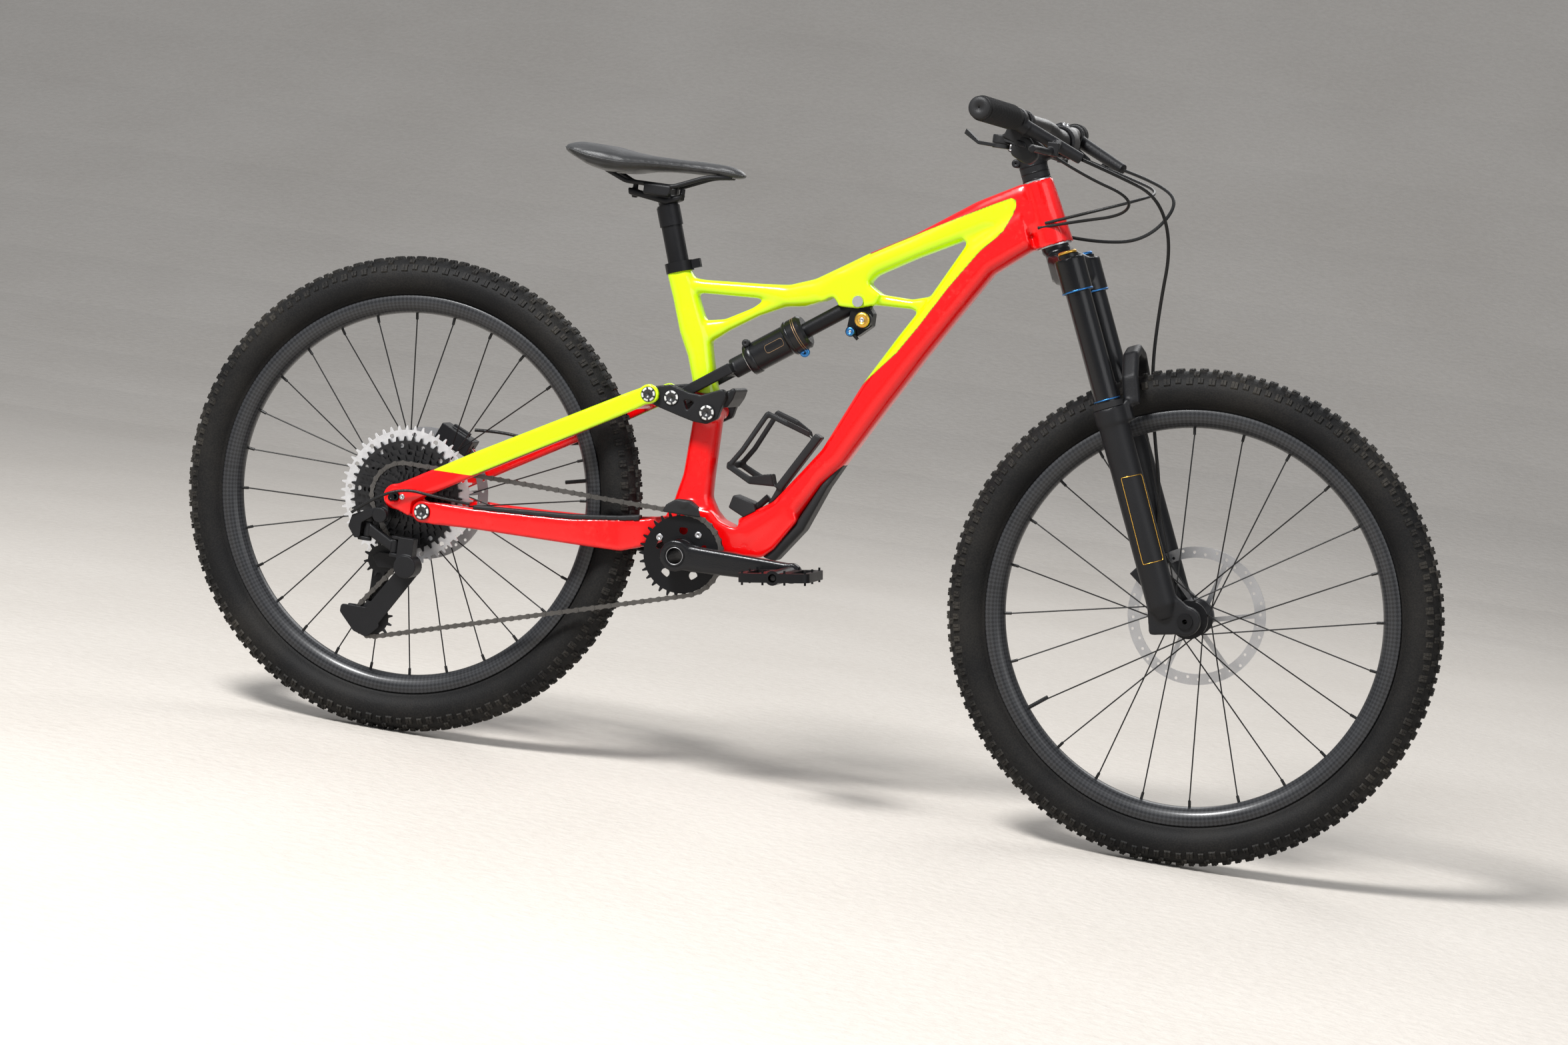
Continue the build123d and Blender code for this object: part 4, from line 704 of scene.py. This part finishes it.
def drum(radius, y0, y1, steps=12):
    """A short round bar across the chain."""
    a = np.linspace(0, 2 * pi, steps, endpoint=False)
    points = [(radius * cos(t), y, radius * sin(t)) for y in (y0, y1) for t in a]
    faces = [tuple(range(steps))[::-1], tuple(range(steps, 2 * steps))]
    faces += [(i, (i + 1) % steps, steps + (i + 1) % steps, steps + i) for i in range(steps)]
    return np.array(points), faces


def laid(sheet, at, heading):
    """A link's mesh turned to its heading in the side view and moved to its place."""
    points, faces = sheet
    x, y, z = np.asarray(points).T
    c, s = cos(heading), sin(heading)
    return np.stack([at[0] + x * c - z * s, at[1] + y, at[2] + x * s + z * c], -1), faces


def link(waist, y0, y1):
    """A pair of plates, one on each side of the chain."""
    return join(link_plate(PITCH, waist, 0.0040, -y1, -y0), link_plate(PITCH, waist, 0.0040, y0, y1))


track = chain_path([(BB, RING_TEETH, 1), (LOWER, LOWER_TEETH, 1), (UPPER, UPPER_TEETH, -1), (REAR, COG_TEETH, 1)])
closed = np.concatenate([track, track[:1]])
lengths = np.concatenate([[0], np.cumsum(np.linalg.norm(np.diff(closed, axis=0), axis=1))])
stops = np.linspace(0, lengths[-1], 2 * round(lengths[-1] / PITCH / 2), endpoint=False)
pins = np.stack([np.interp(stops, lengths, closed[:, 0]), np.interp(stops, lengths, closed[:, 1])], -1)
inner = link(0.0029, 0.0014, 0.0023)
outer = link(0.0026, 0.0025, 0.0034)
rivet = join(drum(0.0019, -0.0037, 0.0037), drum(0.0036, -0.0013, 0.0013))
front_sheets, rear_sheets = [], []
for i, (here, there) in enumerate(zip(pins, np.roll(pins, -1, axis=0))):
    middle = (here + there) / 2
    y = -0.050 + 0.0056 * np.clip((middle[0] - BB[0]) / (REAR[0] - BB[0]), 0, 1)
    heading = atan2(there[1] - here[1], there[0] - here[0])
    sheets = rear_sheets if middle[0] < CHAIN_SPLIT else front_sheets
    sheets.append(laid(outer if i % 2 else inner, (middle[0], y, middle[1]), heading))
    sheets.append(laid(rivet, (here[0], y, here[1]), heading))
chain_steel = metal("chain_steel", (0.05, 0.048, 0.045), (0.17, 0.16, 0.15), 0.38, metallic=0.85)
chain_front = piece("chain_front", *join(*front_sheets), chain_steel, node="chain", smooth=False)
chain_rear = piece("chain_rear", *join(*rear_sheets), chain_steel, "seatstays", "chain", smooth=False)
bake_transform(chain_front)

# ------------------------------------------------------------------ stem and bar
# A forged stem clamps the steerer over thin spacers with two pinch bolts behind, and holds the alloy bar with four
# faceplate bolts.
softened("stem", 0.0015, 4, cast_black)
dressed(black_metal, "handlebar")
SPACER = [(0.0200, -0.0012), (0.0209, -0.0007), (0.0209, 0.0007), (0.0200, 0.0012)]
for i, s in enumerate((0.0502, 0.0601, 0.0702)):
    spun(f"spacer_ring_{i}", SPACER, on_leg(0, 0, s), UP_LEG, black_metal, "steering", 64)
BOLT_HEAD = [(0.001, 0.0), (0.0024, 0.0), (0.0026, 0.0016), (0.0042, 0.0016), (0.0046, 0.0008), (0.0046, -0.0022),
             (0.001, -0.0022)]
PINCH_BOSS = [(0.001, -0.0125), (0.0052, -0.0125), (0.0062, -0.0115), (0.0062, 0.0115), (0.0052, 0.0125),
              (0.001, 0.0125)]
BEHIND = -0.0215
for i, (s, side) in enumerate(((0.080, 1), (0.103, -1))):
    spun(f"pinch_boss_{i}", PINCH_BOSS, on_leg(BEHIND, 0, s), (0, 1, 0), cast_black, "steering")
    spun(f"pinch_bolt_{i}", BOLT_HEAD, on_leg(BEHIND, side * 0.0145, s), (0, side, 0), bright_steel, "steering")
FACE_BOSS = [(0.001, -0.016), (0.0055, -0.016), (0.0062, -0.014), (0.0062, -0.001), (0.0052, 0.0), (0.001, 0.0)]
BAR_MIDDLE, FACE = Vector((0.309, 0, 1.004)), Vector((cos(radians(28)), 0, sin(radians(28))))
for i, (across, lift) in enumerate(((-0.0155, -0.0195), (-0.0155, 0.0195), (0.0155, -0.0195), (0.0155, 0.0195))):
    seat = BAR_MIDDLE + Vector((-FACE.z, 0, FACE.x)) * lift + Vector((0, across, 0)) + FACE * 0.012
    spun(f"face_boss_{i}", FACE_BOSS, seat, FACE, cast_black, "steering")
    spun(f"face_bolt_{i}", BOLT_HEAD, seat + FACE * 0.0016, FACE, bright_steel, "steering")

# ------------------------------------------------------------------ grips
# Soft ribbed rubber sleeves, 128 mm long, pushed on to the bar's ends and clamped at their inner ends.
# A moulded plug closes each one.
grip_rubber = plastic("grip_rubber", (0.006, 0.006, 0.0065), (0.02, 0.0195, 0.019), 0.75)
dressed(grip_rubber, "grips")
RIBS, RIB_PITCH, RIB_START = 25, 0.0049, 0.004
RIB = [(0.0163, 0.0), (0.0163, 0.0012), (0.0173, 0.0017), (0.0175, 0.0028), (0.0173, 0.0039), (0.0163, 0.0044)]
PLUG = [(0.001, 0.0012), (0.010, 0.0012), (0.0140, 0.0004), (0.0154, -0.0012), (0.0154, -0.0040), (0.001, -0.0040)]


def bar_middle(y):
    """Centre of the straight end of the bar at a distance y (m) from the middle: swept back and rising slightly."""
    a = abs(y)
    return Vector((0.309 - 0.141 * (a - 0.04) + 0.002, y, 1.019 + 0.025 * (a - 0.11)))


sleeve = [(r, RIB_START + k * RIB_PITCH + h) for k in range(RIBS) for r, h in RIB]
for side, hand in ((-1, "right"), (1, "left")):
    along = (bar_middle(side * 0.39) - bar_middle(side * 0.26)).normalized()
    spun(f"grip_ribs_{hand}", [(0.0155, RIB_START)] + sleeve + [(0.0155, 0.1260)], bar_middle(side * 0.2575), along,
         grip_rubber, "steering", 64)
    spun(f"grip_plug_{hand}", PLUG, bar_middle(side * 0.3925), along, black_plastic, "steering", 48)

# ------------------------------------------------------------------ shifter and post remote
# Moulded housings clamped under the bar, with thumb levers that turn below them.
# The shifter's rounded pod has a small gloss window on its outer face.
softened("control_bodies", 0.001, 5, black_plastic)
dressed(black_plastic, "shifter_paddle", "dropper_remote_lever")
POD = ((0.278, 0.972), (0.304, 0.961), (0.317, 0.974), (0.303, 1.001), (0.272, 1.005), (0.258, 0.995),
       (0.262, 0.990), (0.278, 0.989))
WINDOW = ((0.284, 0.995), (0.297, 0.992), (0.301, 0.984), (0.288, 0.985))


def slab(outline, y0, y1, edge):
    """Outline in x and z, each point averaged with its neighbours, swept from y0 to y1 and drawn in at both ends."""
    corners = np.asarray(outline, float)
    share = np.linspace(0, 1, 10, endpoint=False)[None, :, None]
    dense = (corners[:, None] + (np.roll(corners, -1, 0) - corners)[:, None] * share).reshape(-1, 2)
    for _ in range(8):
        dense = (np.roll(dense, 1, 0) + 2 * dense + np.roll(dense, -1, 0)) / 4
    centre = dense.mean(0)
    near = [(y0, 0.03), (y0, 0.80), (y0 + edge * 0.3, 0.92), (y0 + edge, 1)]
    far = [(y1 - edge, 1), (y1 - edge * 0.3, 0.92), (y1, 0.80), (y1, 0.03)]
    rows = []
    for y, drawn in near + far:
        flat = centre + (dense - centre) * drawn
        rows.append(np.stack([flat[:, 0], np.full(len(flat), y), flat[:, 1]], -1))
    return grid(np.array(rows), False, True)


piece("shifter_pod", *slab(POD, -0.218, -0.192, 0.004), black_plastic, "steering")
piece("shifter_window", *slab(WINDOW, -0.2192, -0.2170, 0.0006), polished_black, "steering")

# ------------------------------------------------------------------ brakes
# Cast lever bodies are clamped to the bar, and their forged blades turn on pivots.
# Cast calipers are bolted to the left fork leg and the left seat stay, over the discs.
softened("brake_bodies", 0.0012, 5, cast_black)
softened("brake_lever_right", 0.0008, 5, cast_black)
softened("brake_lever_left", 0.0008, 5, cast_black)
softened("front_caliper", 0.001, 3, cast_black)
softened("rear_caliper", 0.001, 3, cast_black)

# ------------------------------------------------------------------ hoses and cables
# Black brake hoses of 5 mm and cable housings of 4.4 mm, each held by its lever and its port in the frame.
# The front hose runs down to the caliper on the lower leg, and is kept as one fixed mesh on no body.
HOSE, HOUSING = 0.0025, 0.0022


def held_hose(name, points, radius, material, body, node):
    """One smooth NURBS tube whose control points are the hose's own route, in millimetres."""
    curve = bpy.data.curves.new(name, "CURVE")
    curve.dimensions = "3D"
    spline = curve.splines.new("NURBS")
    spline.points.add(len(points) - 1)
    for point, (x, y, z) in zip(spline.points, points):
        point.co = (x / 1000, y / 1000, z / 1000, 1)
    spline.order_u = 3
    spline.use_endpoint_u = True
    spline.resolution_u = 16
    curve.bevel_depth = radius
    curve.bevel_resolution = 4
    curve.use_fill_caps = True
    curve.materials.append(material)
    made = bpy.data.objects.new(name, curve)
    bpy.context.scene.collection.objects.link(made)
    if body == "fork_lowers":
        bpy.context.view_layer.update()
        tube = settled(made)
        bpy.data.objects.remove(made)
        made = bpy.data.objects.new(name, tube)
        bpy.context.scene.collection.objects.link(made)
        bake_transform(made)
    else:
        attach(made, body)
    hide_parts(node)
    return made


hose_skin = plastic("hose_skin", (0.006, 0.006, 0.006), (0.016, 0.016, 0.016), 0.35)
ROUTES = (
    ("front_hose", HOSE, "fork_lowers", "front_brake_hose",
     ((374, -187, 979), (420, -130, 964), (466, -50, 944), (486, 5, 880), (477, 38, 790), (478, 41, 700),
      (494, 40, 612), (517, 41, 520), (522, 46, 452))),
    ("rear_hose", HOSE, "steering", "rear_brake_hose",
     ((374, 187, 979), (440, 140, 965), (476, 95, 938), (440, 55, 880), (372, 30, 868), (322, 26, 872))),
    ("shift_housing", HOUSING, "steering", "control_cables",
     ((318, -190, 986), (372, -150, 958), (436, -100, 938), (425, -62, 912), (350, -32, 894), (296, -22.5, 878))),
    ("post_housing", HOUSING, "steering", "control_cables",
     ((318, 196, 986), (390, 150, 968), (452, 60, 952), (434, -20, 936), (360, -36, 906), (306, -25.5, 886))),
    ("rear_hose_tail", HOSE, "seatstays", "rear_hose_and_housing",
     ((-350, 68, 470), (-420, 74, 452), (-480, 76, 466), (-530, 62, 462))),
    ("rear_shift_housing", HOUSING, "seatstays", "rear_hose_and_housing",
     ((-480, -70, 362), (-530, -84, 366), (-576, -90, 372), (-620, -98, 352), (-652, -94, 325))),
)
for name, radius, body, node, points in ROUTES:
    held_hose(name, points, radius, hose_skin, body, node)

# ------------------------------------------------------------------ saddle and post
# Foam under a tight synthetic cover, stretched over a moulded base and stapled under its edge; the cover is swelled
# by a short cloth simulation. Its rails are clamped on the dropper post's sliding tube.
softened("dropper_post_inner", 0.0012, 3, cast_black)
dressed(black_metal, "dropper_post_outer")
# Along the saddle from tail to nose: place, full width, top line and under edge.
STATIONS = (
    (-0.417, 0.070, 0.9075, 0.9000), (-0.412, 0.106, 0.9120, 0.8950), (-0.400, 0.132, 0.9135, 0.8900),
    (-0.375, 0.143, 0.9135, 0.8790), (-0.350, 0.144, 0.9130, 0.8745), (-0.320, 0.134, 0.9085, 0.8760),
    (-0.290, 0.110, 0.9065, 0.8830), (-0.260, 0.084, 0.9065, 0.8865), (-0.230, 0.062, 0.9068, 0.8880),
    (-0.200, 0.047, 0.9068, 0.8890), (-0.175, 0.040, 0.9062, 0.8890), (-0.158, 0.036, 0.9040, 0.8890),
    (-0.148, 0.028, 0.9000, 0.8895), (-0.144, 0.012, 0.8950, 0.8910),
)
LENGTHS, WIDTHS, TOPS, LOWS = zip(*STATIONS)
ROUND = 64
SWELL_LIMIT = 0.0016


def saddle_form(shrink):
    """Sections across the saddle: half width times cos^0.75 and rise times sin^0.8, all drawn in by 'shrink'."""
    x = np.linspace(LENGTHS[0], LENGTHS[-1], 90)
    half = np.interp(x, LENGTHS, WIDTHS) / 2 - shrink
    top, low = np.interp(x, LENGTHS, TOPS) - shrink, np.interp(x, LENGTHS, LOWS) + shrink
    v = np.linspace(0, 2 * pi, ROUND, endpoint=False)
    out, up = np.cos(v)[None, :], np.sin(v)[None, :]
    across = np.sign(out) * np.abs(out) ** 0.75
    y = np.maximum(half, 0.003)[:, None] * across
    mid = (top * 0.45 + low * 0.55)[:, None]
    rise = np.where(up > 0, (top[:, None] - mid) * np.abs(up) ** 0.8, -(mid - low[:, None]) * np.abs(up) ** 0.5)
    reach = np.clip(1 - np.abs((x + 0.32) / 0.10) ** 4, 0, 1)[:, None]
    channel = 0.0035 * np.exp(-((y / 0.011) ** 2)) * reach * (up > 0.3)
    points = np.stack([np.broadcast_to(x[:, None], y.shape), y, mid + rise - channel], -1)
    nose, tail = points[-1].mean(0), points[0].mean(0)
    body, faces = grid(points, close_v=True)
    count = len(body)
    faces = [tuple(f) for f in faces]
    faces += [(count, (i + 1) % ROUND, i) for i in range(ROUND)]
    faces += [(count + 1, count - ROUND + i, count - ROUND + (i + 1) % ROUND) for i in range(ROUND)]
    return np.concatenate([body, [tail], [nose]]), faces


cover = Surface("saddle_cover", Sheen_Weight=0.15, Specular_IOR_Level=0.4)
leather = cover.start.node("TexVoronoi", Vector=cover.place, Scale=1100.0)
rubbed = cover.noise(16.0, 4)
side_panel = cover.z.step(0.9015, 0.9035)
cover_tone = (rubbed * 0.6 + side_panel * 0.25).mix((0.008, 0.008, 0.0085, 1), (0.035, 0.035, 0.036, 1))
cover_finish = cover.set(bump=leather * 0.6 + rubbed * 0.4, depth=0.00025, Base_Color=cover_tone,
                         Roughness=rubbed * 0.2 + side_panel * 0.18 + 0.3)
saddle = piece("saddle_cover", *saddle_form(0.0012), cover_finish)
remesh = saddle.modifiers.new("remesh", "REMESH")
remesh.mode = "VOXEL"
remesh.voxel_size = 0.004
saddle.data = settled(saddle)
saddle.modifiers.clear()
flat = np.zeros(len(saddle.data.vertices) * 3)
saddle.data.vertices.foreach_get("co", flat)
at_start = flat.reshape(-1, 3).copy()
cloth = saddle.modifiers.new("cloth", "CLOTH")
cloth.settings.use_pressure = True
cloth.settings.uniform_pressure_force = 4
cloth.settings.effector_weights.gravity = 0
cloth.settings.tension_stiffness = 40
for step in range(1, 21):
    bpy.context.scene.frame_set(step)
swollen = settled(saddle)
saddle.modifiers.clear()
swollen.vertices.foreach_get("co", flat)
move = flat.reshape(-1, 3) - at_start
moved = np.linalg.norm(move, axis=1, keepdims=True)
capped = at_start + move * np.minimum(1, SWELL_LIMIT / np.maximum(moved, 1e-9))
saddle.data.vertices.foreach_set("co", capped.ravel())
bpy.context.scene.frame_set(1)
relax = saddle.modifiers.new("relax", "SMOOTH")
relax.iterations = 3
finer = saddle.modifiers.new("finer", "SUBSURF")
finer.levels = finer.render_levels = 1
saddle.data = settled(saddle)
saddle.modifiers.clear()
saddle.data.polygons.foreach_set("use_smooth", [True] * len(saddle.data.polygons))
saddle.data.materials.clear()
saddle.data.materials.append(cover_finish)
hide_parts("saddle")
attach(saddle, "dropper")
edge_x = np.linspace(-0.412, -0.150, 34)
edge_half = np.interp(edge_x, LENGTHS, WIDTHS) / 2 + 0.0001
edge_z = np.interp(edge_x, LENGTHS, TOPS) * 0.45 + np.interp(edge_x, LENGTHS, LOWS) * 0.55
right_edge = [(x, -h, z) for x, h, z in zip(edge_x, edge_half, edge_z)]
left_edge = [(x, -y, z) for x, y, z in right_edge[::-1]]
cord_along("saddle_edge_seam", right_edge + left_edge, 0.0009, cover_finish, "dropper", closed=True)
